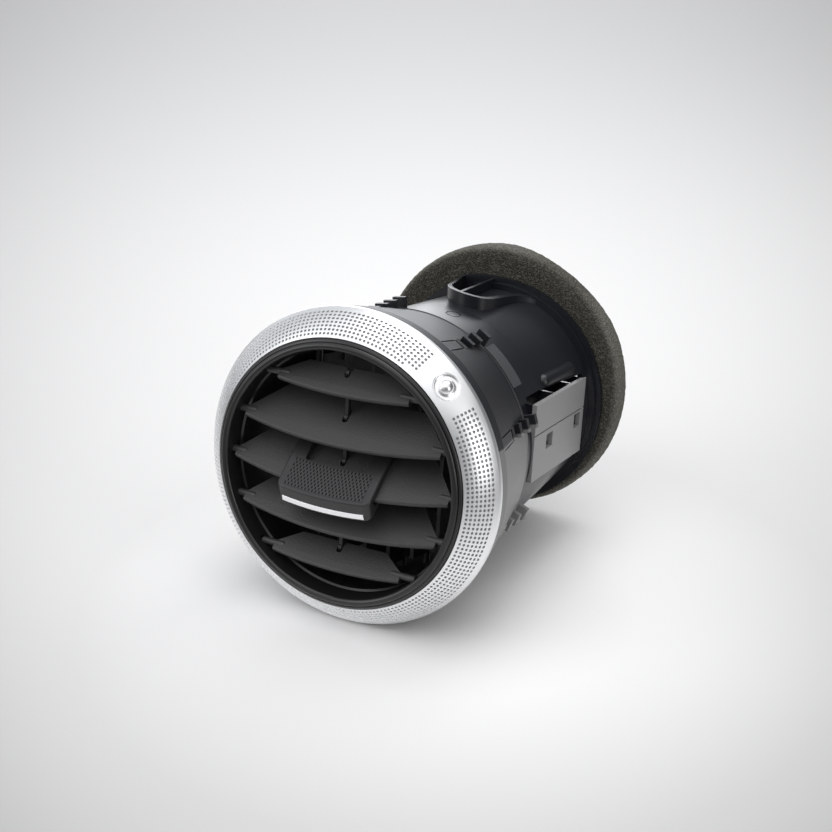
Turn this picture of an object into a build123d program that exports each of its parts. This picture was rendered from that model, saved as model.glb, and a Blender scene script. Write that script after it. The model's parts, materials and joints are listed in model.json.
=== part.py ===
from build123d import *
import math
import os

# Round dashboard air vent, in millimetres and degrees.
# The vent's axis is Y. The outlet faces -Y, +X is to its right and +Z is up.
# The origin is on the axis, at the land that centres the vent in the dashboard.

# Barrel and bezel, one moulding; the sizes of the other round pieces follow from its bore
face_y = -13.0                # plane where the ring meets the bezel
barrel_inner_radius = 34.1
barrel_wall = 1.6
bezel_step = 0.8              # how much wider the bezel's throat is than the barrel
bezel_width = 2.95
bezel_proud = 1.0
bezel_flange_depth = 1.3
bezel_throat_depth = 5.5
bezel_throat_lean = 0.25
bezel_step_length = 0.4
bezel_inner_lift = 0.35       # how far the bezel's inner edge stands ahead of its plane
bezel_groove_floor = 0.2
bezel_ridge_width = 0.7       # the thin outer ridge, with its groove inside it
bezel_groove_width = 0.25
bezel_ridge_lift = 0.25
bezel_crest_shift = 0.4       # how far the crown's top lies inside the bezel's middle

# Trim ring, a turned aluminium cone with a short rim
ring_face_width = 7.05
ring_lead = 0.4               # how far the ring's inner edge lies behind the bezel's plane
ring_depth = 7.7
ring_rim_length = 1.1
ring_wall = 1.5
ring_bulge = 0.7              # how far the face is crowned off a plain cone
shoulder_radius = 1.4
marker_angle = 45.5
marker_share = 0.5            # how far across the face the finger mark lies
dish_major_radius = 2.85
dish_minor_radius = 0.95
dome_radius = 2.4
dome_height = 0.8
dome_root = 0.5               # how far the dome reaches down into the dish

# Carrier that the ring is pressed on, with the cam sleeve
ring_gap = 0.3                # running gap round the bezel and the barrel
seat_gap = 0.1                # seating gap between pieces that are pressed together
carrier_wall = 1.4
sleeve_tail = 3.0             # how far the sleeve runs past the cam slot's end
barrel_tail = 2.5             # how far the barrel runs past the sleeve
ring_travel = 80.0

# Front housing, the grained skirt
skirt_gap = 0.9               # between the outsides of the sleeve and the skirt's neck
skirt_taper = 5.8             # how much wider the land is than the neck
skirt_wall = 1.4
skirt_tail = 3.5              # how far the skirt's cone runs past the barrel
land_gap = 0.5                # between the ring's back and the land
land_rear_y = 1.5
rim_step = 0.25
rim_drop = 1.0
rim_length = 3.0
tab_start = 33.5              # the raised tab on the rim, round from +X
tab_end = 54.0
tab_length = 5.3
tab_tail = 2.6                # how far the tab runs past the rim
tab_proud = 0.3
tab_thickness = 1.0

# Latch rows round the skirt: fins that stand in a slot, with their tops in line
latch_first_angle = 18.2
latch_count = 9
latch_line_height = 3.1       # how far the fins' tops are outside the neck
fin_places = (-16.0, -11.25, -6.4, -1.1)  # along the axis from the rim's end
fin_thickness = 1.5
fin_width = 3.8
latch_slot_lead = 1.8         # how far the slot runs ahead of the first fin
latch_slot_tail = 2.4         # how far it runs behind the third
latch_slot_width = 3.4
slit_width = 0.4
slit_length = 10.0
slit_lead = 0.6               # between the land's rear edge and the slits
slit_turn = 2.3               # how far round from the latch's middle each slit lies

# Rear housing
body_step = 0.2               # how much wider the body is than the barrel
body_wall = 1.5
body_lead = 6.0               # how far ahead of the flap the round body starts to lean
neck_setback = 20.6           # from the flap to the straight neck
neck_step = 3.7
neck_wall = 1.6
neck_length = 10.4
inlet_x = 5.6
inlet_z = 4.7
lip_height = 1.8
lip_length = 1.2
flange_height = 3.4
flange_thickness = 1.4
scoop_height = 3.9
scoop_wall = 1.3
scoop_outline = (             # x, and how far ahead of the neck
    (-5.0, 12.1), (-3.4, 17.6), (0.2, 21.2), (5.0, 22.7), (8.8, 21.3),
    (11.0, 16.6), (12.6, 8.6), (14.2, 4.2), (18.6, 0.0),
)
scoop_left_x = -8.0           # left end of the scoop's wall at the back
scoop_root = 6.0              # how deep the scoop's wall starts in the body
scoop_back_height = 4.9
scoop_back_x = 1.6
scoop_back_z = -0.3
scoop_rib_x = 2.4
scoop_rib_thickness = 0.9
mark_angle = 81.0
mark_setback = 11.0           # from the rim's end
mark_radius = 2.3
mark_line = 0.4
mark_depth = 0.3

# Linkage box on the right side
box_inset = 6.0               # how deep the box's inner wall lies in the body
box_proud = 0.5
box_wall = 1.3
cover_thickness = 1.4
box_lead = 17.4               # how far the box reaches ahead of the flap's axis
box_tail = 18.9
box_head = 3.5                # above the slider
box_foot = 1.1                # below the gear's pitch circle
rib_places = (-2.2, 10.0)     # along the axis from the flap
rib_thickness = 1.0
rib_height = 2.6
bulge_angle = 29.3
bulge_radius = 2.4
bulge_lead = 1.5
bulge_tail = 13.0
bulge_proud = 1.3
window_places = ((-6.3, 1.8), (14.2, 2.6))  # along the axis from the flap, and up
window_length = 4.5
window_height = 4.4
seam_z = 5.6
seam_width = 0.4
seam_depth = 0.4
cover_bore_share = 0.7        # how much of the cover's thickness the shaft's bore takes

# Cam slider
slider_travel = 11.0
slider_thickness = 1.8
slider_height = 3.2
slider_nose = 2.2             # ahead of the follower
slider_tail = 2.6             # behind the flap's axis
slider_gap = 0.3
follower_setback = 20.0       # from the bezel's plane
follower_radius = 1.4
follower_gap = 0.35
follower_reach = 0.3          # how far the follower stands past the sleeve

# Gear teeth of slider and flap sector
gear_module = 0.8
sector_teeth = 18             # teeth that a full wheel would have
sector_first = -1
sector_last = 5
rack_teeth = 7
pressure_angle = 20.0
dedendum = 1.25               # in modules
backlash = 0.16
sector_hub_radius = 3.5

# Shut-off flap
flap_setback = 23.0           # from the rim's end
flap_margin = 6.4             # between the duct's wall and the flap's edge
flap_flat_gap = 1.0           # between the plate's flat side and the wall beside it
flap_thickness = 1.6
flap_hub_radius = 2.3
shaft_radius = 1.6
shaft_gap = 0.05
shaft_end_gap = 0.15
seal_lip = 0.9
seal_grip = 1.4
seal_thickness = 4.0
seal_gap = 0.35
seat_thickness = 2.0

# Horizontal vanes
vane_margin = 9.8             # from the outer vanes' pivots to the bezel's throat
vane_pivot_depth = 3.0
vane_tilt = 43.0              # nose-down angle as shown
vane_side_gaps = (4.15, 2.35, 1.6, 2.35, 4.15)    # between each vane's end and the bezel
vane_tapers = (6.8, 8.7, 8.3, 8.7, 6.8)           # how much shorter each is at the back
vane_rear_reach = (5.1, 9.8, 9.8, 9.8, 5.1)
vane_names = ("vane_top", "vane_upper", "vane_centre", "vane_lower", "vane_bottom")
vane_front_reach = 2.3
vane_bow_radius = 135.0
vane_thickness = 1.7
vane_rear_thickness = 1.0
vane_taper_start = 1.0        # how far ahead of the pivot the vanes get thinner
vane_side_length = 0.3
vane_nose_radius = 0.6
pin_radius = 1.0
pin_gap = 0.06
pin_root = 3.0                # how far each pin runs into its vane

# Tie bar of the horizontal vanes
link_x = -0.5
link_reach = 3.8
link_width = 1.0
link_depth = 1.4
link_eye_radius = 1.2
link_pin_radius = 0.5
link_pin_root = 0.3
link_side_gap = 0.35
link_slot_half = 2.1

# Slider knob on the centre vane
knob_x = -1.3
knob_width = 29.0
knob_half_height = 2.7
knob_front_reach = 12.2
knob_face_slope = 1.2         # how much further the front reaches at the bottom
knob_bow_radius = 100.0       # the front is bowed round this radius
knob_rear_wall = 1.5
knob_travel = 5.5
knob_gap = 0.3
knob_edge_radius = 0.7
knob_corner_radius = 2.2
knob_window_width = 19.0
knob_window_start = 0.4
knob_window_end = 8.0
knob_window_lead = 0.6        # how much earlier the lower shell's window starts
knob_window_corner = 0.8
strip_width = 25.6
strip_top = -0.15
strip_bottom = -1.45
strip_depth = 0.7
strip_proud = 0.2
fork_past = 2.5               # how far the tines run past the rod
fork_tine_width = 1.4
fork_thickness = 2.0
fork_root_width = 11.0
fork_root_depth = 0.9
fork_gap = 0.45

# Vertical vanes behind them
rear_vane_count = 7
rear_vane_margin = 11.3       # from the outer vertical vanes' pivots to the barrel's wall
rear_vane_setback = 27.0      # from the bezel's plane
rear_vane_front = 7.5
rear_vane_rear = 7.0
rear_vane_thickness = 1.2
rear_vane_end_gap = 0.8
rod_reach = 11.0
rod_radius = 0.9
rod_half_height = 15.2
rod_arm_height = 3.0
fork_room = 2.8               # how far the driven vane's plate reaches ahead of its pivot
rear_link_inset = 4.63        # from the outer vanes' ends
rear_link_reach = 5.0
rear_link_width = 2.8
rear_link_thickness = 1.6
rear_link_gap = 0.35
rear_link_pin_radius = 0.8

# Foam seal
foam_shift_x = -1.1           # from the inlet's axis
foam_shift_z = 3.6
foam_width = 9.1
foam_dent = 1.1               # how much flatter it is at the upper right
foam_dent_angle = 60.0
foam_dent_spread = 20.0
foam_points = 20
foam_length = 9.6
foam_edge = 1.6
foam_gap = 0.1

past = 1.0                    # how far a cut runs past what it cuts

os.makedirs("parts", exist_ok=True)

# Sizes that follow from the ones above
bezel_inner_radius = barrel_inner_radius + bezel_step
bezel_outer_radius = bezel_inner_radius + bezel_width
barrel_outer_radius = barrel_inner_radius + barrel_wall
ring_inner_radius = bezel_outer_radius + ring_gap
ring_outer_radius = ring_inner_radius + ring_face_width
ring_lip_y = face_y + ring_lead
ring_back_y = ring_lip_y + ring_depth + ring_rim_length
face_length = math.hypot(ring_face_width, ring_depth)
face_normal = (ring_depth / face_length, -ring_face_width / face_length)
ring_wall_along = ring_wall * face_length / ring_face_width
carrier_wall_along = carrier_wall * face_length / ring_face_width
bezel_back_y = face_y + bezel_flange_depth
sleeve_inner_radius = barrel_outer_radius + ring_gap
sleeve_outer_radius = sleeve_inner_radius + carrier_wall
follower_y = face_y + follower_setback
sleeve_end_y = follower_y + slider_travel + sleeve_tail
barrel_end_y = sleeve_end_y + barrel_tail
skirt_neck_radius = sleeve_outer_radius + skirt_gap
skirt_neck_y = barrel_end_y + skirt_tail
land_radius = skirt_neck_radius + skirt_taper
land_front_y = ring_back_y + land_gap
rim_end_radius = skirt_neck_radius - rim_drop
rim_end_y = skirt_neck_y + rim_length
body_radius = barrel_outer_radius + body_step
duct_inner_radius = body_radius - body_wall
neck_radius = body_radius - neck_step
throat_radius = neck_radius - neck_wall
flap_y = rim_end_y + flap_setback
body_end_y = flap_y - body_lead
neck_start_y = flap_y + neck_setback
neck_end_y = neck_start_y + neck_length
box_inner_x = body_radius - box_inset
box_outer_x = body_radius + box_proud
cover_inner_x = box_outer_x - cover_thickness
duct_wall_x = box_inner_x - box_wall
box_front_y = flap_y - box_lead
box_back_y = flap_y + box_tail
pitch_radius = gear_module * sector_teeth / 2
tooth_pitch = math.pi * gear_module
slider_x = box_inner_x + slider_gap + shaft_gap
slider_bottom_z = pitch_radius + dedendum * gear_module
slider_mid_z = slider_bottom_z + slider_height / 2
slider_front_y = follower_y - slider_nose
slider_rear_y = flap_y + slider_tail
channel_front_y = slider_front_y - slider_gap
channel_height = slider_height + 2 * slider_gap
channel_outer_x = slider_x + slider_thickness + slider_gap
box_top_z = slider_bottom_z + slider_height + box_head
box_bottom_z = -pitch_radius - box_foot
box_middle_z = (box_bottom_z + box_top_z) / 2
box_height = box_top_z - box_bottom_z
flap_radius = duct_inner_radius - flap_margin
flap_flat_x = duct_wall_x - flap_flat_gap
seal_flat_x = duct_wall_x - seal_gap
seat_radius = flap_radius + seal_lip + seal_gap
vane_pivot_y = face_y + vane_pivot_depth
vane_pitch = (bezel_inner_radius - vane_margin) / 2
vane_heights = [vane_pitch * (2 - i) for i in range(5)]
link_slot_width = link_width + 2 * link_side_gap
rear_vane_y = face_y + rear_vane_setback
knob_turn = math.asin(knob_travel / rod_reach)
rear_vane_turn = knob_turn * knob_x / knob_travel
rear_vane_swing = rear_vane_front * math.sin(knob_turn) + rear_vane_thickness / 2
rear_vane_middle = (rear_vane_count - 1) // 2
rear_vane_pitch = (barrel_inner_radius - rear_vane_margin) / rear_vane_middle
rear_vane_places = [rear_vane_pitch * (i - rear_vane_middle) for i in range(rear_vane_count)]
rod_y = rear_vane_y - rod_reach * math.cos(rear_vane_turn)
fork_reach = (rod_y - vane_pivot_y) / math.cos(math.radians(vane_tilt)) + fork_past
foam_front_y = neck_start_y + flange_thickness
latch_angles = [latch_first_angle + i * 360 / latch_count for i in range(latch_count)]


def face_point(radius, behind=0.0):
    """A point of the ring's straight cone at a radius, moved back along the axis."""
    return (radius, ring_lip_y + (radius - ring_inner_radius) * ring_depth / ring_face_width + behind)


def crowned(start, end):
    """The middle point of an arc that is crowned like the ring's face."""
    lift = ring_bulge * (math.hypot(end[0] - start[0], end[1] - start[1]) / face_length) ** 2
    return (
        (start[0] + end[0]) / 2 + lift * face_normal[0],
        (start[1] + end[1]) / 2 + lift * face_normal[1],
    )


def round_plane(angle, radius, y):
    """A plane on the side of a cylinder round Y, facing outwards, with its x along Y."""
    a = math.radians(angle)
    return Plane(
        origin=(radius * math.cos(a), y, radius * math.sin(a)),
        x_dir=(0, 1, 0),
        z_dir=(math.cos(a), 0, math.sin(a)),
    )


def vane_plane(height):
    """The plane of a horizontal vane: x along its pivot and y rearwards in its chord."""
    t = math.radians(vane_tilt)
    return Plane(origin=(0, vane_pivot_y, height), x_dir=(1, 0, 0), z_dir=(0, -math.sin(t), math.cos(t)))


def vane_section(height):
    """The plane across a horizontal vane: x rearwards in its chord and y off its upper face."""
    t = math.radians(vane_tilt)
    return Plane(origin=(0, vane_pivot_y, height), x_dir=(0, math.cos(t), math.sin(t)), z_dir=(1, 0, 0))


def rear_vane_plane(place):
    """The plane of a vertical vane: x rearwards in its chord and y up."""
    c = math.cos(rear_vane_turn)
    s = math.sin(rear_vane_turn)
    return Plane(origin=(place, rear_vane_y, 0), x_dir=(-s, c, 0), z_dir=(c, s, 0))


def chord(radius, offset):
    """Half the width of a circle at an offset from its middle."""
    return math.sqrt(radius**2 - offset**2)


def rear_vane_half(place):
    """Half the height of a vertical vane."""
    return chord(barrel_inner_radius, abs(place) + rear_vane_swing) - rear_vane_end_gap


def skirt_radius(y):
    """Outside radius of the skirt's cone at a place on the axis."""
    return land_radius - (y - land_rear_y) * skirt_taper / (skirt_neck_y - land_rear_y)


def involute(angle):
    return math.tan(angle) - angle


def sector_outline():
    """Points of the flap sector's teeth, as (y, z), with the wheel's centre first."""
    base_radius = pitch_radius * math.cos(math.radians(pressure_angle))
    root_radius = pitch_radius - dedendum * gear_module
    tip_radius = pitch_radius + gear_module
    half_tooth = math.pi / (2 * sector_teeth) - backlash / (2 * pitch_radius)
    flank = []
    for radius in (root_radius, base_radius, pitch_radius, (pitch_radius + tip_radius) / 2, tip_radius):
        slope = math.acos(min(1, base_radius / radius))
        flank.append((radius, half_tooth + involute(math.radians(pressure_angle)) - involute(slope)))
    outline = [(flap_y, 0)]
    for tooth in range(sector_first, sector_last + 1):
        middle = tooth * 2 * math.pi / sector_teeth
        rising = [(radius, middle - half) for radius, half in flank]
        falling = [(radius, middle + half) for radius, half in reversed(flank)]
        for radius, angle in rising + falling:
            outline.append((flap_y - radius * math.sin(angle), radius * math.cos(angle)))
    return outline


def rack_tooth(middle):
    """Points of one rack tooth under the slider, as (y, z)."""
    half = tooth_pitch / 4 - backlash / 2
    lean = math.tan(math.radians(pressure_angle))
    tip_z = pitch_radius - gear_module
    root_half = half + (slider_bottom_z - pitch_radius) * lean
    tip_half = half - gear_module * lean
    return [
        (middle - root_half, slider_bottom_z),
        (middle - tip_half, tip_z),
        (middle + tip_half, tip_z),
        (middle + root_half, slider_bottom_z),
    ]


# Trim ring with its finger mark
mark_foot = face_point(ring_inner_radius + ring_face_width * marker_share)
mark_r = mark_foot[0] + ring_bulge * face_normal[0]
mark_a = math.radians(marker_angle)
marker_plane = Plane(
    origin=(
        mark_r * math.cos(mark_a),
        mark_foot[1] + ring_bulge * face_normal[1],
        mark_r * math.sin(mark_a),
    ),
    z_dir=(face_normal[0] * math.cos(mark_a), face_normal[1], face_normal[0] * math.sin(mark_a)),
)
with BuildPart() as trim_ring:
    with BuildSketch(Plane.XY):
        with BuildLine():
            front_in = face_point(ring_inner_radius)
            front_out = face_point(ring_outer_radius)
            back_in = face_point(ring_inner_radius, ring_wall_along)
            back_out = face_point(ring_outer_radius - ring_wall, ring_wall_along)
            ThreePointArc(front_in, crowned(front_in, front_out), front_out)
            Polyline(
                front_out,
                (ring_outer_radius, ring_back_y),
                (ring_outer_radius - ring_wall, ring_back_y),
                back_out,
            )
            ThreePointArc(back_out, crowned(back_out, back_in), back_in)
            Line(back_in, front_in)
        make_face()
    revolve(axis=Axis.Y)
    widest = trim_ring.edges().filter_by(GeomType.CIRCLE).sort_by(SortBy.LENGTH)[-2:]
    fillet(widest.sort_by(Axis.Y)[0], shoulder_radius)
    with Locations(marker_plane):
        Torus(dish_major_radius, dish_minor_radius, mode=Mode.SUBTRACT)
    with Locations(marker_plane.offset(dome_height)):
        cap_start = math.degrees(math.asin(1 - (dome_height + dome_root) / dome_radius))
        Sphere(dome_radius, arc_size1=cap_start, align=(Align.CENTER, Align.CENTER, Align.MAX))
trim_ring.part.label = "trim_ring"
export_step(trim_ring.part, "parts/trim_ring.step")

# Ring carrier: a web under the ring and a sleeve with the helical cam slot
slot_radius = (sleeve_inner_radius + sleeve_outer_radius) / 2
slot_half_width = follower_radius + follower_gap
follower_angle = math.degrees(math.asin(slider_mid_z / slot_radius))
with BuildLine() as cam_line:
    Helix(slider_travel * 360 / ring_travel, slider_travel, slot_radius, direction=(0, 1, 0))
cam_start = cam_line.line @ 0
cam_end = cam_line.line @ 1
cam_way = math.degrees(math.atan2(cam_end.Z, cam_end.X) - math.atan2(cam_start.Z, cam_start.X))
cam_turn = math.degrees(math.atan2(cam_start.Z, cam_start.X)) - follower_angle
cam_path = cam_line.line.rotate(Axis.Y, cam_turn).translate((0, follower_y - cam_start.Y, 0))
cam_first = cam_path @ 0
with BuildPart() as ring_carrier:
    with BuildSketch(Plane.XY):
        with BuildLine():
            carrier_front_y = bezel_back_y + ring_gap
            nose_radius = ring_inner_radius - seat_gap
            under_ring = ring_wall_along + seat_gap
            under_web = under_ring + carrier_wall_along
            rim_radius = ring_outer_radius - ring_wall - seat_gap
            nose = (nose_radius, face_point(nose_radius, under_ring)[1])
            web_out = face_point(rim_radius, under_ring)
            Polyline(
                (sleeve_inner_radius, sleeve_end_y),
                (sleeve_inner_radius, carrier_front_y),
                (nose_radius, carrier_front_y),
                nose,
            )
            ThreePointArc(nose, crowned(nose, web_out), web_out)
            Polyline(
                web_out,
                (rim_radius, ring_back_y - seat_gap),
                (rim_radius - carrier_wall, ring_back_y - seat_gap),
                face_point(rim_radius - carrier_wall, under_web),
                face_point(sleeve_outer_radius, under_web),
                (sleeve_outer_radius, sleeve_end_y),
                (sleeve_inner_radius, sleeve_end_y),
            )
        make_face()
    revolve(axis=Axis.Y)
    with BuildSketch(
        Plane(origin=cam_first, x_dir=(cam_first.X, 0, cam_first.Z), z_dir=cam_path % 0)
    ):
        Rectangle(3 * carrier_wall, 2 * slot_half_width)
    sweep(path=cam_path, is_frenet=True, mode=Mode.SUBTRACT)
    for slot_end in (cam_path @ 0, cam_path @ 1):
        end_angle = math.degrees(math.atan2(slot_end.Z, slot_end.X))
        with Locations(round_plane(end_angle, slot_radius, slot_end.Y)):
            Cylinder(slot_half_width, 3 * carrier_wall, mode=Mode.SUBTRACT)
ring_carrier.part.label = "ring_carrier"
export_step(ring_carrier.part, "parts/ring_carrier.step")

# Bezel and barrel in one, with the vanes' bearings and the slider's channel
with BuildPart() as inner_bezel:
    with BuildSketch(Plane.XY):
        with BuildLine():
            groove_outer = bezel_outer_radius - bezel_ridge_width
            groove_inner = groove_outer - bezel_groove_width
            groove_y = face_y + bezel_groove_floor
            throat_y = face_y + bezel_throat_depth
            bezel_edge = (bezel_inner_radius, face_y - bezel_inner_lift)
            crown_edge = (groove_inner, face_y - bezel_inner_lift)
            crown_top = (
                (bezel_outer_radius + bezel_inner_radius) / 2 - bezel_crest_shift,
                face_y - bezel_proud,
            )
            Polyline(
                bezel_edge,
                (bezel_inner_radius - bezel_throat_lean, throat_y),
                (barrel_inner_radius, throat_y + bezel_step_length),
                (barrel_inner_radius, barrel_end_y),
                (barrel_outer_radius, barrel_end_y),
                (barrel_outer_radius, bezel_back_y),
                (bezel_outer_radius, bezel_back_y),
                (bezel_outer_radius, face_y + bezel_ridge_lift),
                (bezel_outer_radius - bezel_ridge_lift, face_y),
                (groove_outer, face_y - bezel_ridge_lift),
                (groove_outer, groove_y),
                (groove_inner, groove_y),
                crown_edge,
            )
            ThreePointArc(crown_edge, crown_top, bezel_edge)
        make_face()
    revolve(axis=Axis.Y)
    with BuildSketch(Plane.XZ.offset(box_wall - channel_front_y)):
        with Locations((duct_wall_x, slider_mid_z)):
            Rectangle(2 * box_inset, channel_height + 2 * box_wall, align=(Align.MIN, Align.CENTER))
        Circle(barrel_outer_radius - barrel_wall / 2, mode=Mode.INTERSECT)
    extrude(amount=channel_front_y - box_wall - barrel_end_y)
    with BuildSketch(Plane.XZ.offset(-channel_front_y)):
        with Locations((box_inner_x, slider_mid_z)):
            Rectangle(2 * box_inset, channel_height, align=(Align.MIN, Align.CENTER))
    extrude(amount=channel_front_y - barrel_end_y, mode=Mode.SUBTRACT)
    with BuildSketch(Plane.YZ):
        with Locations([(vane_pivot_y, height) for height in vane_heights]):
            Circle(pin_radius + pin_gap)
    extrude(amount=barrel_outer_radius + past, both=True, mode=Mode.SUBTRACT)
    with BuildSketch(Plane.XY):
        with Locations([(place, rear_vane_y) for place in rear_vane_places]):
            Circle(pin_radius + pin_gap)
    extrude(amount=barrel_outer_radius + past, both=True, mode=Mode.SUBTRACT)
inner_bezel.part.label = "inner_bezel"
export_step(inner_bezel.part, "parts/inner_bezel.step")

# Front housing: the grained skirt with its latch rows
latch_top_radius = skirt_neck_radius + latch_line_height
slot_front_y = rim_end_y + fin_places[0] - latch_slot_lead
slot_back_y = rim_end_y + fin_places[-2] + latch_slot_tail
slot_middle_y = (slot_front_y + slot_back_y) / 2
slot_taper = skirt_radius(slot_front_y) - skirt_radius(slot_back_y)
slit_middle_y = land_rear_y + slit_lead + slit_length / 2
latch_slots = [
    round_plane(angle, skirt_radius(slot_middle_y) - skirt_wall / 2, slot_middle_y)
    for angle in latch_angles
]
latch_slits = [
    round_plane(angle + side * slit_turn, skirt_radius(slit_middle_y) - skirt_wall / 2, slit_middle_y)
    for angle in latch_angles
    for side in (-1, 1)
]
tab_a = math.radians(tab_end)
tab_plane = Plane(
    origin=(0, skirt_neck_y + rim_step, 0),
    x_dir=(math.cos(tab_a), 0, math.sin(tab_a)),
    z_dir=(-math.sin(tab_a), 0, math.cos(tab_a)),
)
with BuildPart() as front_housing:
    with BuildSketch(Plane.XY):
        with BuildLine():
            Polyline(
                (land_radius, land_front_y),
                (land_radius, land_rear_y),
                (skirt_neck_radius, skirt_neck_y),
                (skirt_neck_radius + rim_step, skirt_neck_y + rim_step),
                (rim_end_radius, rim_end_y),
                (body_radius + seat_gap, rim_end_y),
                (body_radius + seat_gap, rim_end_y - skirt_wall),
                (skirt_neck_radius - skirt_wall, skirt_neck_y),
                (land_radius - skirt_wall, land_rear_y),
                (land_radius - skirt_wall, land_front_y),
                close=True,
            )
        make_face()
    revolve(axis=Axis.Y)
    with BuildSketch(tab_plane):
        with Locations((skirt_neck_radius + rim_step + tab_proud, 0)):
            Rectangle(tab_thickness, rim_length - rim_step + tab_tail, align=(Align.MAX, Align.MIN))
    revolve(axis=Axis.Y, revolution_arc=tab_end - tab_start)
    with Locations(latch_slots):
        Box(
            slot_back_y - slot_front_y,
            latch_slot_width,
            2 * skirt_wall + 2 * slot_taper,
            mode=Mode.SUBTRACT,
        )
    with Locations(latch_slits):
        Box(slit_length, slit_width, 2 * skirt_wall + slot_taper, mode=Mode.SUBTRACT)
    for place in fin_places:
        fin_y = rim_end_y + place
        fin_root = max(skirt_radius(fin_y) - skirt_wall, body_radius + 2 * seat_gap)
        with Locations(
            [round_plane(angle, (fin_root + latch_top_radius) / 2, fin_y) for angle in latch_angles]
        ):
            Box(fin_thickness, fin_width, latch_top_radius - fin_root)
front_housing.part.label = "front_housing"
export_step(front_housing.part, "parts/front_housing.step")

# The hollow of the rear housing, kept as a solid of its own
with BuildPart() as duct_hollow:
    with BuildSketch(Plane.XZ.offset(-barrel_end_y)):
        Circle(duct_inner_radius)
    extrude(amount=barrel_end_y - body_end_y)
    with BuildSketch(Plane.XZ.offset(-body_end_y)):
        Circle(duct_inner_radius)
    with BuildSketch(Plane.XZ.offset(-neck_start_y)):
        with Locations((inlet_x, inlet_z)):
            Circle(throat_radius)
    loft()
    with BuildSketch(Plane.XZ.offset(-neck_start_y)):
        with Locations((inlet_x, inlet_z)):
            Circle(throat_radius)
    extrude(amount=neck_start_y - neck_end_y)
    with BuildSketch(Plane.XZ.offset(seat_thickness / 2 - flap_y)):
        Circle(body_radius + scoop_root)
        Circle(seat_radius, mode=Mode.SUBTRACT)
    extrude(amount=-seat_thickness, mode=Mode.SUBTRACT)
    with BuildSketch(Plane.XZ.offset(-barrel_end_y)):
        with Locations((duct_wall_x, slider_mid_z)):
            Rectangle(2 * box_inset, channel_height + 2 * box_wall, align=(Align.MIN, Align.CENTER))
    extrude(amount=barrel_end_y - box_front_y, mode=Mode.SUBTRACT)
    with BuildSketch(Plane.XZ.offset(-box_front_y)):
        with Locations((duct_wall_x, box_middle_z)):
            Rectangle(2 * box_inset, box_height, align=(Align.MIN, Align.CENTER))
    extrude(amount=box_front_y - box_back_y, mode=Mode.SUBTRACT)

# The scoop's wall, kept as a solid of its own
scoop_points = [(x, neck_start_y - ahead) for x, ahead in scoop_outline]
scoop_front_y = min(y for x, y in scoop_points)
scoop_right_x = scoop_outline[-1][0]
with BuildPart() as scoop_walls:
    with BuildSketch(Plane.XY.offset(body_radius - scoop_root)):
        with BuildLine():
            Line((scoop_left_x, neck_start_y), scoop_points[0])
            Spline(*scoop_points)
        trace(line_width=scoop_wall)
        with Locations((scoop_rib_x, (scoop_front_y + neck_start_y) / 2)):
            Rectangle(scoop_rib_thickness, neck_start_y - scoop_front_y)
    extrude(amount=scoop_root + 2 * scoop_height)
    with BuildSketch(Plane.XZ.offset(scoop_wall - scoop_front_y)):
        Circle(body_radius + scoop_height)
    extrude(amount=scoop_front_y - scoop_wall - neck_start_y, mode=Mode.INTERSECT)
    with BuildSketch(Plane.XZ.offset(-neck_start_y)):
        with Locations((scoop_back_x, scoop_back_z)):
            Circle(body_radius + scoop_back_height)
        with Locations(((scoop_left_x + scoop_right_x) / 2, body_radius)):
            Rectangle(scoop_right_x - scoop_left_x, 2 * scoop_root + past, mode=Mode.INTERSECT)
    extrude(amount=-flange_thickness)

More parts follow.
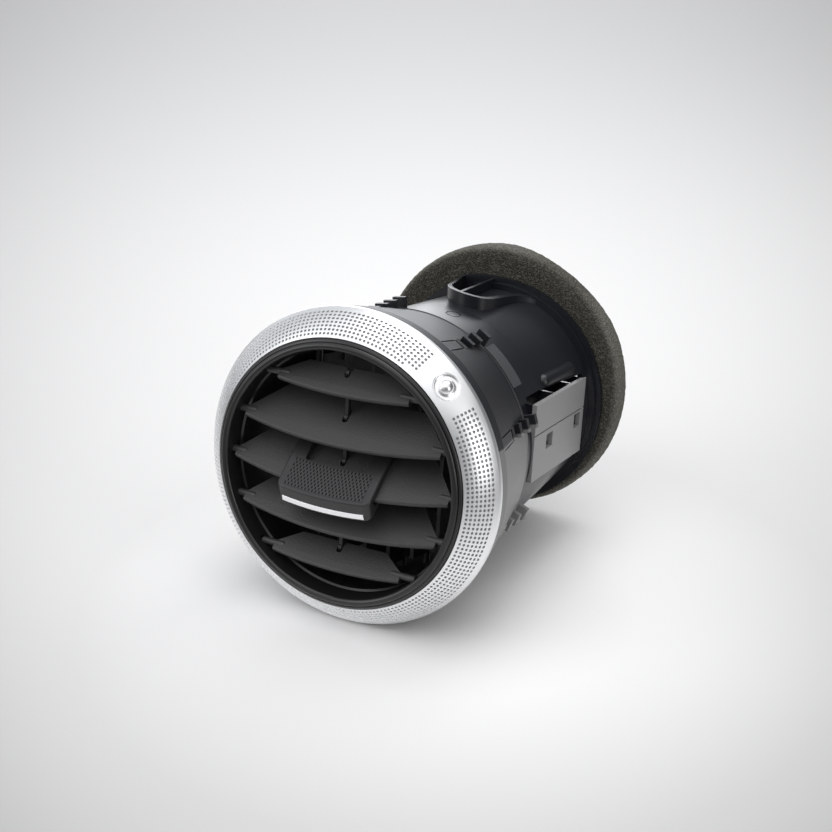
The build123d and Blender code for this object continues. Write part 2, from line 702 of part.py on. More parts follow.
# Rear housing: round body, leaning neck, scoop and linkage box
bulge_a = math.radians(bulge_angle)
bulge_ends = []
for bulge_y in (flap_y - bulge_lead, flap_y + bulge_tail):
    lean = (bulge_y - body_end_y) / (neck_start_y - body_end_y)
    lean_radius = body_radius + (neck_radius - body_radius) * lean
    along = lean * (inlet_x * math.cos(bulge_a) + inlet_z * math.sin(bulge_a))
    across = lean * (inlet_x * math.sin(bulge_a) - inlet_z * math.cos(bulge_a))
    reach = along + chord(lean_radius, across) + bulge_proud - bulge_radius
    bulge_ends.append(Vector(reach * math.cos(bulge_a), bulge_y, reach * math.sin(bulge_a)))
with BuildPart() as rear_housing:
    with BuildSketch(Plane.XZ.offset(-barrel_end_y)):
        Circle(body_radius)
    extrude(amount=barrel_end_y - body_end_y)
    with BuildSketch(Plane.XZ.offset(-body_end_y)):
        Circle(body_radius)
    with BuildSketch(Plane.XZ.offset(-neck_start_y)):
        with Locations((inlet_x, inlet_z)):
            Circle(neck_radius)
    loft()
    with BuildSketch(Plane.XZ.offset(-neck_start_y)):
        with Locations((inlet_x, inlet_z)):
            Circle(neck_radius)
    extrude(amount=neck_start_y - neck_end_y)
    with BuildSketch(Plane.XZ.offset(lip_length - neck_start_y)):
        with Locations((inlet_x, inlet_z)):
            Circle(neck_radius + lip_height)
    extrude(amount=-lip_length)
    with BuildSketch(Plane.XZ.offset(-neck_start_y)):
        with Locations((inlet_x, inlet_z)):
            Circle(neck_radius + flange_height)
    extrude(amount=-flange_thickness)
    add(scoop_walls.part)
    with BuildSketch(Plane(origin=bulge_ends[0], z_dir=bulge_ends[1] - bulge_ends[0])):
        Circle(bulge_radius)
    extrude(amount=(bulge_ends[1] - bulge_ends[0]).length)
    with Locations(bulge_ends[0]):
        Sphere(bulge_radius)
    with BuildSketch(Plane.XZ.offset(-box_front_y)):
        with Locations((duct_wall_x, box_middle_z)):
            Rectangle(2 * box_inset, box_height, align=(Align.MIN, Align.CENTER))
    extrude(amount=box_front_y - box_back_y)
    with BuildSketch(Plane.XZ.offset(-box_front_y)):
        with Locations((cover_inner_x, box_middle_z)):
            Rectangle(2 * box_inset, box_height, align=(Align.MIN, Align.CENTER))
    extrude(amount=box_front_y - box_back_y, mode=Mode.SUBTRACT)
    add(duct_hollow.part, mode=Mode.SUBTRACT)
    with BuildSketch(Plane.XZ.offset(-(box_front_y + box_wall))):
        with Locations((box_inner_x, box_bottom_z + box_wall)):
            Rectangle(2 * box_inset, box_height, align=(Align.MIN, Align.MIN))
    extrude(amount=box_front_y - box_back_y + 2 * box_wall, mode=Mode.SUBTRACT)
    with BuildSketch(Plane.XZ.offset(-barrel_end_y)):
        with Locations(((box_inner_x + channel_outer_x) / 2, slider_mid_z)):
            Rectangle(channel_outer_x - box_inner_x, channel_height)
    extrude(amount=barrel_end_y - box_front_y - box_wall, mode=Mode.SUBTRACT)
    with Locations(
        [
            ((box_inner_x + cover_inner_x) / 2, flap_y + place, box_top_z - rib_height / 2)
            for place in rib_places
        ]
    ):
        Box(cover_inner_x - box_inner_x, rib_thickness, rib_height)
    with BuildSketch(Plane.YZ):
        with Locations((flap_y, 0)):
            Circle(shaft_radius + shaft_gap)
    extrude(amount=body_radius + past, both=True, mode=Mode.SUBTRACT)
    with BuildSketch(round_plane(mark_angle, body_radius - mark_depth, rim_end_y + mark_setback)):
        Circle(mark_radius)
        Circle(mark_radius - mark_line, mode=Mode.SUBTRACT)
    extrude(amount=body_wall, mode=Mode.SUBTRACT)
rear_housing.part.label = "rear_housing"
export_step(rear_housing.part, "parts/rear_housing.step")

# Side cover of the linkage box
with BuildPart() as side_cover:
    with BuildSketch(Plane.YZ.offset(cover_inner_x)):
        with Locations(((box_front_y + box_back_y) / 2, box_middle_z)):
            Rectangle(box_back_y - box_front_y, box_height)
        with Locations([(flap_y + place, height) for place, height in window_places]):
            Rectangle(window_length, window_height, mode=Mode.SUBTRACT)
    extrude(amount=cover_thickness)
    with BuildSketch(Plane.YZ.offset(box_outer_x - seam_depth)):
        with Locations(((box_front_y + box_back_y) / 2, seam_z)):
            Rectangle(box_back_y - box_front_y, seam_width)
    extrude(amount=seam_depth, mode=Mode.SUBTRACT)
    with BuildSketch(Plane.YZ.offset(cover_inner_x)):
        with Locations((flap_y, 0)):
            Circle(shaft_radius + shaft_gap)
    extrude(amount=cover_thickness * cover_bore_share, mode=Mode.SUBTRACT)
side_cover.part.label = "side_cover"
export_step(side_cover.part, "parts/side_cover.step")

# Foam seal round the inlet
foam_x = inlet_x + foam_shift_x
foam_z = inlet_z + foam_shift_z
foam_ring = []
for i in range(foam_points):
    angle = i * 360 / foam_points
    off = (angle - foam_dent_angle + 180) % 360 - 180
    reach = neck_radius + foam_width - foam_dent * math.exp(-((off / foam_dent_spread) ** 2))
    foam_ring.append(
        (foam_x + reach * math.cos(math.radians(angle)), foam_z + reach * math.sin(math.radians(angle)))
    )
with BuildPart() as foam_seal:
    with BuildSketch(Plane.XZ.offset(-foam_front_y)):
        with BuildLine():
            Spline(*foam_ring, periodic=True)
        make_face()
    extrude(amount=-foam_length)
    fillet(foam_seal.edges(), foam_edge)
    with BuildSketch(Plane.XZ.offset(-foam_front_y)):
        with Locations((inlet_x, inlet_z)):
            Circle(neck_radius + foam_gap)
    extrude(amount=-foam_length, mode=Mode.SUBTRACT)
foam_seal.part.label = "foam_seal"
export_step(foam_seal.part, "parts/foam_seal.step")

# Horizontal vanes
link_ahead = link_reach * math.cos(math.radians(vane_tilt))
link_rise = link_reach * math.sin(math.radians(vane_tilt))
vane_half_widths = [
    chord(bezel_inner_radius, abs(height)) - gap for height, gap in zip(vane_heights, vane_side_gaps)
]
for name, height, half, taper, rear in zip(
    vane_names, vane_heights, vane_half_widths, vane_tapers, vane_rear_reach
):
    with BuildPart() as vane:
        with BuildSketch(vane_plane(height)):
            with BuildLine():
                bow = vane_bow_radius - chord(vane_bow_radius, half)
                ThreePointArc(
                    (-half, -vane_front_reach), (0, -vane_front_reach - bow), (half, -vane_front_reach)
                )
                Polyline(
                    (half, -vane_front_reach),
                    (half, vane_side_length),
                    (half - taper, rear),
                    (taper - half, rear),
                    (-half, vane_side_length),
                    (-half, -vane_front_reach),
                )
            make_face()
        extrude(amount=vane_thickness / 2, both=True)
        fillet(vane.edges().filter_by(GeomType.CIRCLE), vane_nose_radius)
        with BuildSketch(vane_section(height)):
            with BuildLine():
                vane_front = -vane_front_reach - bow - past
                Polyline(
                    (vane_front, -vane_thickness),
                    (vane_front, vane_thickness),
                    (-vane_taper_start, vane_thickness),
                    (-vane_taper_start, vane_thickness / 2),
                    (rear + past, vane_rear_thickness / 2),
                    (rear + past, -vane_rear_thickness / 2),
                    (-vane_taper_start, -vane_thickness / 2),
                    (-vane_taper_start, -vane_thickness),
                    close=True,
                )
            make_face()
        extrude(amount=half + past, both=True, mode=Mode.INTERSECT)
        reach = chord(barrel_outer_radius, abs(height) + pin_radius) - seat_gap
        for side in (-1, 1):
            with BuildSketch(Plane.YZ.offset(side * (half - pin_root))):
                with Locations((vane_pivot_y, height)):
                    Circle(pin_radius)
            extrude(amount=side * (reach - half + pin_root))
        with BuildSketch(vane_plane(height).offset(-vane_thickness)):
            with Locations((link_x, link_reach)):
                SlotOverall(2 * link_slot_half, link_slot_width, rotation=90)
        extrude(amount=2 * vane_thickness, mode=Mode.SUBTRACT)
        with BuildSketch(Plane.YZ.offset(link_x - link_slot_width / 2 - link_pin_root)):
            with Locations((vane_pivot_y + link_ahead, height + link_rise)):
                Circle(link_pin_radius)
        extrude(amount=link_slot_width + 2 * link_pin_root)
    vane.part.label = name
    export_step(vane.part, f"parts/{name}.step")

# Tie bar of the horizontal vanes
with BuildPart() as vane_link:
    with BuildSketch(Plane.YZ.offset(link_x - link_width / 2)):
        with Locations((vane_pivot_y + link_ahead, link_rise)):
            Rectangle(link_depth, vane_heights[0] - vane_heights[-1])
        with Locations([(vane_pivot_y + link_ahead, height + link_rise) for height in vane_heights]):
            Circle(link_eye_radius)
            Circle(link_pin_radius + pin_gap, mode=Mode.SUBTRACT)
    extrude(amount=link_width)
vane_link.part.label = "vane_link"
export_step(vane_link.part, "parts/vane_link.step")

# Slider knob: two shells that meet in front of and behind the centre vane
centre_half = vane_half_widths[2]
vane_front_apex = vane_front_reach + vane_bow_radius - chord(vane_bow_radius, centre_half)
cavity_front = -vane_front_apex - knob_gap
cavity_rear = vane_rear_reach[2] + knob_gap
cavity_half = vane_thickness / 2 + knob_gap
knob_rear = cavity_rear + knob_rear_wall
knob_arc = math.degrees(math.asin(knob_width / knob_bow_radius))
fork_root_front = knob_rear - fork_root_depth
across_vane = Axis((0, vane_pivot_y, 0), vane_plane(0).z_dir)
bow_point = vane_section(0).from_local_coords((knob_bow_radius - knob_front_reach, 0, knob_x))
bow_axis = Axis(bow_point, vane_plane(0).z_dir)


def front_face(height):
    """Where the knob's sloped front face lies at a height off the middle plane."""
    return knob_face_slope - knob_front_reach + height * knob_face_slope / knob_half_height


def strip_outline(gap, lead):
    """Points of the strip's section, grown by a gap, which stands ahead of the knob's front."""
    top = strip_top + gap
    bottom = strip_bottom - gap
    return [
        (front_face(strip_top) - lead, top),
        (front_face(strip_top) + strip_depth + gap, top),
        (front_face(strip_bottom) + strip_depth + gap, bottom),
        (front_face(strip_bottom) - lead, bottom),
    ]


for name, side in (("knob_upper", 1), ("knob_lower", -1)):
    with BuildPart() as shell:
        with BuildSketch(vane_section(0).offset(knob_x), mode=Mode.PRIVATE) as shell_section:
            with BuildLine():
                Polyline(
                    (front_face(0), 0),
                    (front_face(side * knob_half_height), side * knob_half_height),
                    (2 * knob_rear, side * knob_half_height),
                    (2 * knob_rear, 0),
                    close=True,
                )
            make_face()
        for turn_axis in (bow_axis, bow_axis.reverse()):
            revolve(shell_section.sketch, axis=turn_axis, revolution_arc=knob_arc)
        with BuildSketch(vane_plane(0)):
            with Locations((knob_x, knob_rear)):
                Rectangle(knob_width, 2 * (knob_rear + knob_front_reach), align=(Align.CENTER, Align.MAX))
        extrude(amount=side * (knob_half_height + past), mode=Mode.INTERSECT)
        corners = [
            edge
            for edge in shell.edges()
            if abs((edge @ 0.5).X - knob_x) > knob_width / 2 - 0.01
            and abs((edge @ 0).X - (edge @ 1).X) < 0.01
            and edge.length < 2 * knob_half_height
        ]
        fillet(corners, knob_corner_radius)
        flats = shell.faces().sort_by(across_vane)
        fillet((flats[-1] if side > 0 else flats[0]).edges(), knob_edge_radius)
        with BuildSketch(vane_section(0).offset(knob_x)):
            with Locations(((cavity_front + cavity_rear) / 2, 0)):
                Rectangle(cavity_rear - cavity_front, 2 * cavity_half)
        extrude(amount=knob_width / 2 + past, both=True, mode=Mode.SUBTRACT)
        window_start = knob_window_start - (knob_window_lead if side < 0 else 0)
        window_middle = (window_start + knob_window_end) / 2
        with BuildSketch(vane_plane(0)):
            with Locations((knob_x, window_middle)):
                RectangleRounded(knob_window_width, knob_window_end - window_start, knob_window_corner)
        extrude(amount=side * (knob_half_height + past), mode=Mode.SUBTRACT)
        with BuildSketch(vane_plane(0).offset(-fork_thickness / 2)):
            with Locations((knob_x, knob_rear)):
                Rectangle(fork_root_width + 2 * seat_gap, 2 * (fork_root_depth + seat_gap))
        extrude(amount=fork_thickness, mode=Mode.SUBTRACT)
        if side < 0:
            with BuildSketch(vane_section(0).offset(knob_x), mode=Mode.PRIVATE) as groove_section:
                with BuildLine():
                    Polyline(*strip_outline(seat_gap, past), close=True)
                make_face()
            groove_arc = math.degrees(math.asin((strip_width / 2 + seat_gap) / knob_bow_radius))
            for turn_axis in (bow_axis, bow_axis.reverse()):
                revolve(
                    groove_section.sketch, axis=turn_axis, revolution_arc=groove_arc, mode=Mode.SUBTRACT
                )
    shell.part.label = name
    export_step(shell.part, f"parts/{name}.step")

# Bright strip along the knob's front
with BuildPart() as knob_trim_strip:
    with BuildSketch(vane_section(0).offset(knob_x), mode=Mode.PRIVATE) as strip_section:
        with BuildLine():
            Polyline(*strip_outline(0, strip_proud), close=True)
        make_face()
    strip_arc = math.degrees(math.asin(strip_width / 2 / knob_bow_radius))
    for turn_axis in (bow_axis, bow_axis.reverse()):
        revolve(strip_section.sketch, axis=turn_axis, revolution_arc=strip_arc)
knob_trim_strip.part.label = "knob_trim_strip"
export_step(knob_trim_strip.part, "parts/knob_trim_strip.step")

# Fork that reaches from the knob to the vertical vanes
tine_middle = rod_radius + fork_gap + fork_tine_width / 2
with BuildPart() as knob_fork:
    with BuildSketch(vane_plane(0).offset(seat_gap - fork_thickness / 2)):
        with Locations((knob_x, fork_root_front + fork_root_depth / 2)):
            Rectangle(fork_root_width, fork_root_depth)
        for side in (-1, 1):
            with Locations((knob_x + side * tine_middle, (fork_root_front + fork_reach) / 2)):
                Rectangle(fork_tine_width, fork_reach - fork_root_front)
    extrude(amount=fork_thickness - 2 * seat_gap)
knob_fork.part.label = "knob_fork"
export_step(knob_fork.part, "parts/knob_fork.step")

# Vertical vanes, of which the middle one holds the rod that the fork drives
link_shift_x = -rear_link_reach * math.sin(rear_vane_turn)
link_shift_y = rear_vane_y + rear_link_reach * math.cos(rear_vane_turn)
rear_link_z = rear_link_inset - rear_vane_half(rear_vane_places[-1])
for i, place in enumerate(rear_vane_places):
    half_height = rear_vane_half(place)
    with BuildPart() as rear_vane:
        with BuildSketch(rear_vane_plane(place)):
            with Locations(((rear_vane_rear - rear_vane_front) / 2, 0)):
                Rectangle(rear_vane_front + rear_vane_rear, 2 * half_height)
            if i == rear_vane_middle:
                with Locations((-rear_vane_front - fork_room, 0)):
                    Rectangle(2 * rear_vane_front, 2 * rod_half_height, mode=Mode.SUBTRACT)
                for side in (-1, 1):
                    with Locations((-rod_reach / 2, side * (rod_half_height + rod_arm_height / 2))):
                        Rectangle(rod_reach, rod_arm_height)
            notch_start = rear_link_reach - rear_link_width / 2 - 3 * rear_link_gap
            with Locations((notch_start + rear_vane_rear / 2, rear_link_z)):
                Rectangle(rear_vane_rear, rear_link_thickness + 2 * rear_link_gap, mode=Mode.SUBTRACT)
        extrude(amount=rear_vane_thickness / 2, both=True)
        if i == rear_vane_middle:
            rod_x = place + rod_reach * math.sin(rear_vane_turn)
            with Locations((rod_x, rod_y, 0)):
                Cylinder(rod_radius, 2 * (rod_half_height + rod_arm_height))
        reach = chord(barrel_outer_radius, abs(place) + pin_radius) - seat_gap
        for side in (-1, 1):
            with BuildSketch(Plane.XY.offset(side * (half_height - pin_root))):
                with Locations((place, rear_vane_y)):
                    Circle(pin_radius)
            extrude(amount=side * (reach - half_height + pin_root))
        with Locations((place + link_shift_x, link_shift_y, rear_link_z)):
            Cylinder(rear_link_pin_radius, rear_link_thickness + 2 * rear_link_gap + past)
    rear_vane.part.label = f"vertical_vane_{i + 1}"
    export_step(rear_vane.part, f"parts/vertical_vane_{i + 1}.step")

# Link that ties the vertical vanes
with BuildPart() as rear_link:
    with BuildSketch(Plane.XY.offset(rear_link_z - rear_link_thickness / 2)):
        with Locations((link_shift_x, link_shift_y)):
            SlotCenterToCenter(rear_vane_pitch * (rear_vane_count - 1), rear_link_width)
        with Locations([(place + link_shift_x, link_shift_y) for place in rear_vane_places]):
            Circle(rear_link_pin_radius + pin_gap, mode=Mode.SUBTRACT)
    extrude(amount=rear_link_thickness)
rear_link.part.label = "rear_link"
export_step(rear_link.part, "parts/rear_link.step")

# Control slider: bar, follower pin and rack
follower_end = chord(sleeve_outer_radius, slider_mid_z) + follower_reach
with BuildPart() as control_slider:
    with BuildSketch(Plane.YZ.offset(slider_x)):
        with Locations(((slider_front_y + slider_rear_y) / 2, slider_mid_z)):
            Rectangle(slider_rear_y - slider_front_y, slider_height)
        for tooth in range(rack_teeth):
            with BuildLine():
                Polyline(*rack_tooth(flap_y + (tooth - rack_teeth + 1.5) * tooth_pitch), close=True)
            make_face()
    extrude(amount=slider_thickness)
    with BuildSketch(Plane.YZ.offset(slider_x + slider_thickness / 2)):
        with Locations((follower_y, slider_mid_z)):
            Circle(follower_radius)
    extrude(amount=follower_end - slider_x - slider_thickness / 2)
control_slider.part.label = "control_slider"
export_step(control_slider.part, "parts/control_slider.step")

# Flap shaft with its gear sector
shaft_left = seat_gap - chord(body_radius, shaft_radius)
shaft_right = cover_inner_x + cover_thickness * cover_bore_share - shaft_end_gap
with BuildPart() as flap_shaft:
    with BuildSketch(Plane.YZ.offset(slider_x)):
        with BuildLine():
            Polyline(*sector_outline(), close=True)
        make_face()
        with Locations((flap_y, 0)):
            Circle(sector_hub_radius)
    extrude(amount=slider_thickness)
    with BuildSketch(Plane.YZ.offset(shaft_left)):
        with Locations((flap_y, 0)):
            Circle(shaft_radius)
    extrude(amount=shaft_right - shaft_left)
flap_shaft.part.label = "flap_shaft"
export_step(flap_shaft.part, "parts/flap_shaft.step")

# Flap plate, level when the duct is open
grip_flat_x = flap_flat_x - seal_grip
hub_left = seal_grip + seal_gap - flap_radius
hub_right = grip_flat_x - seal_gap
with BuildPart() as flap_plate:
    with BuildSketch(Plane.XY.offset(-flap_thickness / 2)):
        with Locations((0, flap_y)):
            Circle(flap_radius)
        with Locations((flap_flat_x - 2 * flap_radius, flap_y)):
            Rectangle(4 * flap_radius, 4 * flap_radius, mode=Mode.INTERSECT)
    extrude(amount=flap_thickness)
    with BuildSketch(Plane.YZ.offset(hub_left)):
        with Locations((flap_y, 0)):
            Circle(flap_hub_radius)
    extrude(amount=hub_right - hub_left)
    with BuildSketch(Plane.YZ):
        with Locations((flap_y, 0)):
            Circle(shaft_radius)
    extrude(amount=flap_radius + past, both=True, mode=Mode.SUBTRACT)
flap_plate.part.label = "flap_plate"
export_step(flap_plate.part, "parts/flap_plate.step")

# Soft seal gripped round the flap plate
with BuildPart() as flap_seal:
    for edge_radius, edge_flat_x, edge_mode in (
        (flap_radius + seal_lip, seal_flat_x, Mode.ADD),
        (flap_radius - seal_grip, grip_flat_x, Mode.SUBTRACT),
    ):
        with BuildSketch(Plane.XY.offset(-seal_thickness / 2)):
            with Locations((0, flap_y)):
                Circle(edge_radius)
            with Locations((edge_flat_x - 2 * flap_radius, flap_y)):
                Rectangle(4 * flap_radius, 4 * flap_radius, mode=Mode.INTERSECT)
        extrude(amount=seal_thickness, mode=edge_mode)
    add(flap_plate.part, mode=Mode.SUBTRACT)
    with BuildSketch(Plane.YZ):
        with Locations((flap_y, 0)):
            Circle(shaft_radius)
    extrude(amount=flap_radius + 2 * past, both=True, mode=Mode.SUBTRACT)
flap_seal.part.label = "flap_seal"
export_step(flap_seal.part, "parts/flap_seal.step")

print("flap ratio, rad per rad of ring:", slider_travel / pitch_radius / math.radians(ring_travel))
print("slider ratio, m per rad of ring:", slider_travel / 1000 / math.radians(ring_travel))
print("vertical vane ratio, rad per m of knob:", 1000 * knob_turn / knob_travel)
print("cam turns over its length, degrees:", cam_way)
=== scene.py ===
import json
import math

import bmesh
import bpy
from mathutils import Matrix, Vector


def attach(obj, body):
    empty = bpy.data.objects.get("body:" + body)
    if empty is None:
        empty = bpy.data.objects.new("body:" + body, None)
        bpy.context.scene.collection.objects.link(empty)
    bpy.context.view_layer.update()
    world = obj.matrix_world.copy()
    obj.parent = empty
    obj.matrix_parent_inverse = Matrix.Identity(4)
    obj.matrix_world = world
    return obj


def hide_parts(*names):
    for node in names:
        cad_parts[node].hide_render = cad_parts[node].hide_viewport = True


bl_info = {
    "name": "Dashboard Air Vent",
    "version": (1, 0, 0),
    "blender": (4, 5, 0),
    "location": "View3D > Sidebar > Air Vent",
    "description": "Dresses the round air vent and its stage",
    "category": "Object",
}

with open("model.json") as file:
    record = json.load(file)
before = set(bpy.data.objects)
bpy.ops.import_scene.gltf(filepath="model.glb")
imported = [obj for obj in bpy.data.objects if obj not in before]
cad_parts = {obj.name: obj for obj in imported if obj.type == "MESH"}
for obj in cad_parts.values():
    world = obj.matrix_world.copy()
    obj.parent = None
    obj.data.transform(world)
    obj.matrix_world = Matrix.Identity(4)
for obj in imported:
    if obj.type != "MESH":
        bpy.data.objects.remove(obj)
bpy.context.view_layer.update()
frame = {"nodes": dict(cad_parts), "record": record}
nodes = frame["nodes"]

MM = 0.001
BODY_OF = {
    node: body
    for body, members in frame["record"]["behaviour"]["bodies"].items()
    for node in members
}

# The ring's section, in millimetres: inner lip, face, shoulder and rim
RING_INNER = 38.15
RING_OUTER = 45.2
RING_LIP_Y = -12.6
RING_DEPTH = 7.7
RING_BACK_Y = -3.8
RING_WALL = 1.5
RING_BULGE = 0.7
SHOULDER_REACH = 0.34
SHOULDER_STEPS = 5

# The finger mark: its place on the ring, and the dish and dome as (radius, height) in millimetres
MARK_ANGLE = math.radians(45.5)
MARK_SHARE = 0.5
MARK_RADIUS = 4.3
MARK_SIDES = 64
DISH_PROFILE = [
    (0.01, -0.35), (1.7, -0.35), (2.05, -0.62), (2.45, -0.84), (2.85, -0.92), (3.2, -0.84),
    (3.5, -0.64), (3.72, -0.36), (3.86, -0.05), (4.02, 0.12), (MARK_RADIUS, 0.2),
    (MARK_RADIUS, 2.0), (0.01, 2.0),
]
DOME_PROFILE = [
    (0.01, 0.72), (0.45, 0.68), (0.9, 0.55), (1.3, 0.33), (1.65, 0.05), (1.92, -0.3),
    (2.1, -0.7), (2.1, -1.1), (0.01, -1.1),
]

# The centre vane's plane, which the knob lies along
VANE_PIVOT_Y = -10.0
VANE_TILT = math.radians(43.0)
KNOB_X = -1.3
KNOB_HALF_HEIGHT = 2.7
KNOB_BOW_RADIUS = 100.0

# The foam seal round the neck
FOAM_X = 4.5
FOAM_Z = 8.3
FOAM_RADIUS = 41.3
NECK_X = 5.6
NECK_Z = 4.7
NECK_RADIUS = 32.3
FOAM_FRONT_Y = 75.0
FOAM_BACK_Y = 84.6
FOAM_SIDES = 160

# The tab at the skirt's rim and the part low on the right whose paler colour is painted light, round from
# the right
TAB_RADIUS = 38.65
TAB_Y = 27.2
TAB_TURN = 0.7635
TAB_HALF = 0.185
PAINTED_LIGHT_FROM = (math.radians(-110), math.radians(-90))
PAINTED_LIGHT_TO = (math.radians(16.6), math.radians(17.2))

# The lamps: name, place, target, size and power, or name, tilt about X and Y, and angle
SOFTBOXES = (
    ("softbox_top", (0.05, 0.15, 0.6), (0, 0.03, 0), (0.35, 0.5), 1.2),
    ("softbox_left", (-0.6, -0.5, 0.2), (0, 0, 0), (0.4, 0.6), 1.2),
    ("softbox_right", (0.7, -0.25, 0.12), (0, 0.03, 0), (0.25, 0.4), 1.0),
)
WIDE_LIGHTS = (("overhead", (20, 18), 80), ("front", (38, -28), 70))

# Where the world is brightest, and where its panel stands
BRIGHT_WAY = (-0.8, -0.2, 0.55)
PANEL_WAY = (-0.43, 0.86, 0.22)
WORLD_COLOUR = (0.95, 0.97, 1.0, 1.0)

# The floor's painted light round the vent, paler to lift the vent's shadow: its middle, and the reach
# over which it fades
PAINTED_LIFT_MIDDLE = (0.025, 0.02, 0.0)
PAINTED_LIFT_FADE = (0.05, 0.11)
FLOOR_SIZE = 8.0
SENSOR_WIDTH = 36.0


def colour(name, text, default):
    """A colour property with its name, description and default."""
    return bpy.props.FloatVectorProperty(
        name=name, description=text, subtype="COLOR", size=3, min=0.0, max=1.0, default=default
    )


def length(name, text, default):
    """A length property, given in millimetres."""
    return bpy.props.FloatProperty(name=name, description=text, unit="LENGTH", default=default * MM)


def angle(name, text, default):
    """An angle property, given in degrees."""
    return bpy.props.FloatProperty(
        name=name, description=text, subtype="ANGLE", default=math.radians(default)
    )


class VentStageSettings(bpy.types.PropertyGroup):
    azimuth: angle("Azimuth", "How far the camera stands to the right of the outlet", 27.1056)
    elevation: angle("Elevation", "How far the camera stands above the vent's axis", 17.7722)
    roll: angle("Roll", "How far the camera is turned about its own axis", 3.3779)
    distance: length("Distance", "From the outlet's plane to the camera", 430.5)
    shift_right: length("Shift right", "How far the outlet lies off the picture's middle", -21.55)
    shift_up: length("Shift up", "How far the outlet lies off the picture's middle", -16.28)
    outlet_y: length("Outlet plane", "Where the outlet's plane lies on the axis", -13.0)
    lens: bpy.props.FloatProperty(
        name="Lens", description="Focal length of the camera in millimetres", default=69.23
    )
    floor_slope: angle("Floor slope", "How much the floor rises towards the inlet", 6.8)
    floor_y: length("Floor touch", "Where on the axis the ring touches the floor", -4.0)
    floor_z: length("Floor height", "Height of the floor under the ring", -45.75)
    floor_colour: colour("Floor", "Colour of the floor in the picture's middle", (0.81, 0.806, 0.8))
    # Painted light: the floor's colour is paler close round the vent, lifting the vent's shadow on it.
    floor_painted_lift: bpy.props.FloatProperty(
        name="Floor near", description="How much paler the floor is close round the vent", default=1.2
    )
    # Painted shade: the floor's colour is darkened towards the picture's sides, top and bottom, a painted
    # falloff of the light.
    floor_painted_falloff: bpy.props.FloatVectorProperty(
        name="Floor fall",
        description="How much darker the floor is at the picture's sides, and at its top and bottom",
        size=2,
        default=(0.21, 0.16),
    )
    # Where the painted falloff of the light is palest.
    floor_painted_falloff_shift: bpy.props.FloatProperty(
        name="Floor shift", description="How far above the middle the floor is palest", default=0.16
    )
    overhead: bpy.props.FloatProperty(
        name="Overhead", description="Strength of the light from above", default=1.0
    )
    front: bpy.props.FloatProperty(
        name="Front", description="Strength of the wide light from the front left", default=0.38
    )
    sky_bright: bpy.props.FloatProperty(
        name="Bright side", description="Strength of the world at the upper left", default=0.68
    )
    sky_panel: bpy.props.FloatProperty(
        name="Panel", description="Strength of the bright panel low behind on the left", default=3.2
    )
    sky_dim: bpy.props.FloatProperty(
        name="Dim side", description="Strength of the world on the right", default=0.14
    )


class VentRingSettings(bpy.types.PropertyGroup):
    metal: colour("Metal", "Colour of the aluminium", (0.86, 0.865, 0.875))
    columns: bpy.props.IntProperty(name="Columns", description="Pits round the ring", default=200)
    rows: bpy.props.IntProperty(name="Rows", description="Rows of pits across the face", default=7)
    first_row: bpy.props.FloatProperty(
        name="First row", description="Where across the face the pits start", default=0.051
    )
    row_share: bpy.props.FloatProperty(
        name="Row share", description="Each row's share of the face", default=0.112
    )
    pit_margin: length("Pit margin", "Metal between a pit and its cell's edge", 0.24)
    pit_corner: length("Pit corner", "How much of each pit's corner is cut off", 0.2)
    pit_depth: length("Pit depth", "Depth of the pits", 0.32)
    pit_taper: length("Pit taper", "How much the pits narrow at the bottom", 0.06)
    bare_half: angle("Bare half", "Half the stretch round the mark that has no pits", 10.3)
    bare_half_inside: angle("Bare half inside", "The same for the innermost row", 17.4)


class VentPadSettings(bpy.types.PropertyGroup):
    columns: bpy.props.IntProperty(name="Columns", description="Half cells across the pad", default=44)
    rows: bpy.props.IntProperty(name="Rows", description="Rows of pits on the pad", default=9)
    width: length("Width", "Width of the pad", 24.2)
    front: length("Front", "How far the pad reaches ahead of the vane's pivot", 8.75)
    back: length("Back", "Where the pad ends, ahead of the vane's pivot", 0.25)
    rise: length("Rise", "How far the pad stands off the knob", 0.15)
    pit_margin: length("Pit margin", "Plastic between a pit and its cell's edge", 0.05)
    pit_corner: length("Pit corner", "How much of each pit's corner is cut off", 0.13)


class VentPlasticSettings(bpy.types.PropertyGroup):
    bezel: colour("Bezel", "Colour of the bezel and barrel", (0.012, 0.012, 0.012))
    vane: colour("Vanes", "Colour of the vanes", (0.039, 0.039, 0.038))
    skirt: colour("Skirt", "Colour of the grained front housing", (0.013, 0.014, 0.017))
    # Painted light: the front housing's colour is paler low on the right, standing in for the light that
    # falls there.
    skirt_painted_light: colour("Skirt, low", "Colour of the front housing low on the right", (0.2, 0.2, 0.2))
    tab: colour("Tab", "Colour of the tab at the skirt's rim", (0.06, 0.062, 0.066))
    # Painted light: the cover's grey is raised to stand in for the light and the floor's reflection it
    # gets from the right.
    cover: colour("Cover", "Colour of the linkage cover", (0.27, 0.27, 0.27))
    body: colour("Body", "Colour of the rear housing", (0.009, 0.010, 0.013))
    knob: colour("Knob", "Colour of the slider knob", (0.02, 0.02, 0.021))


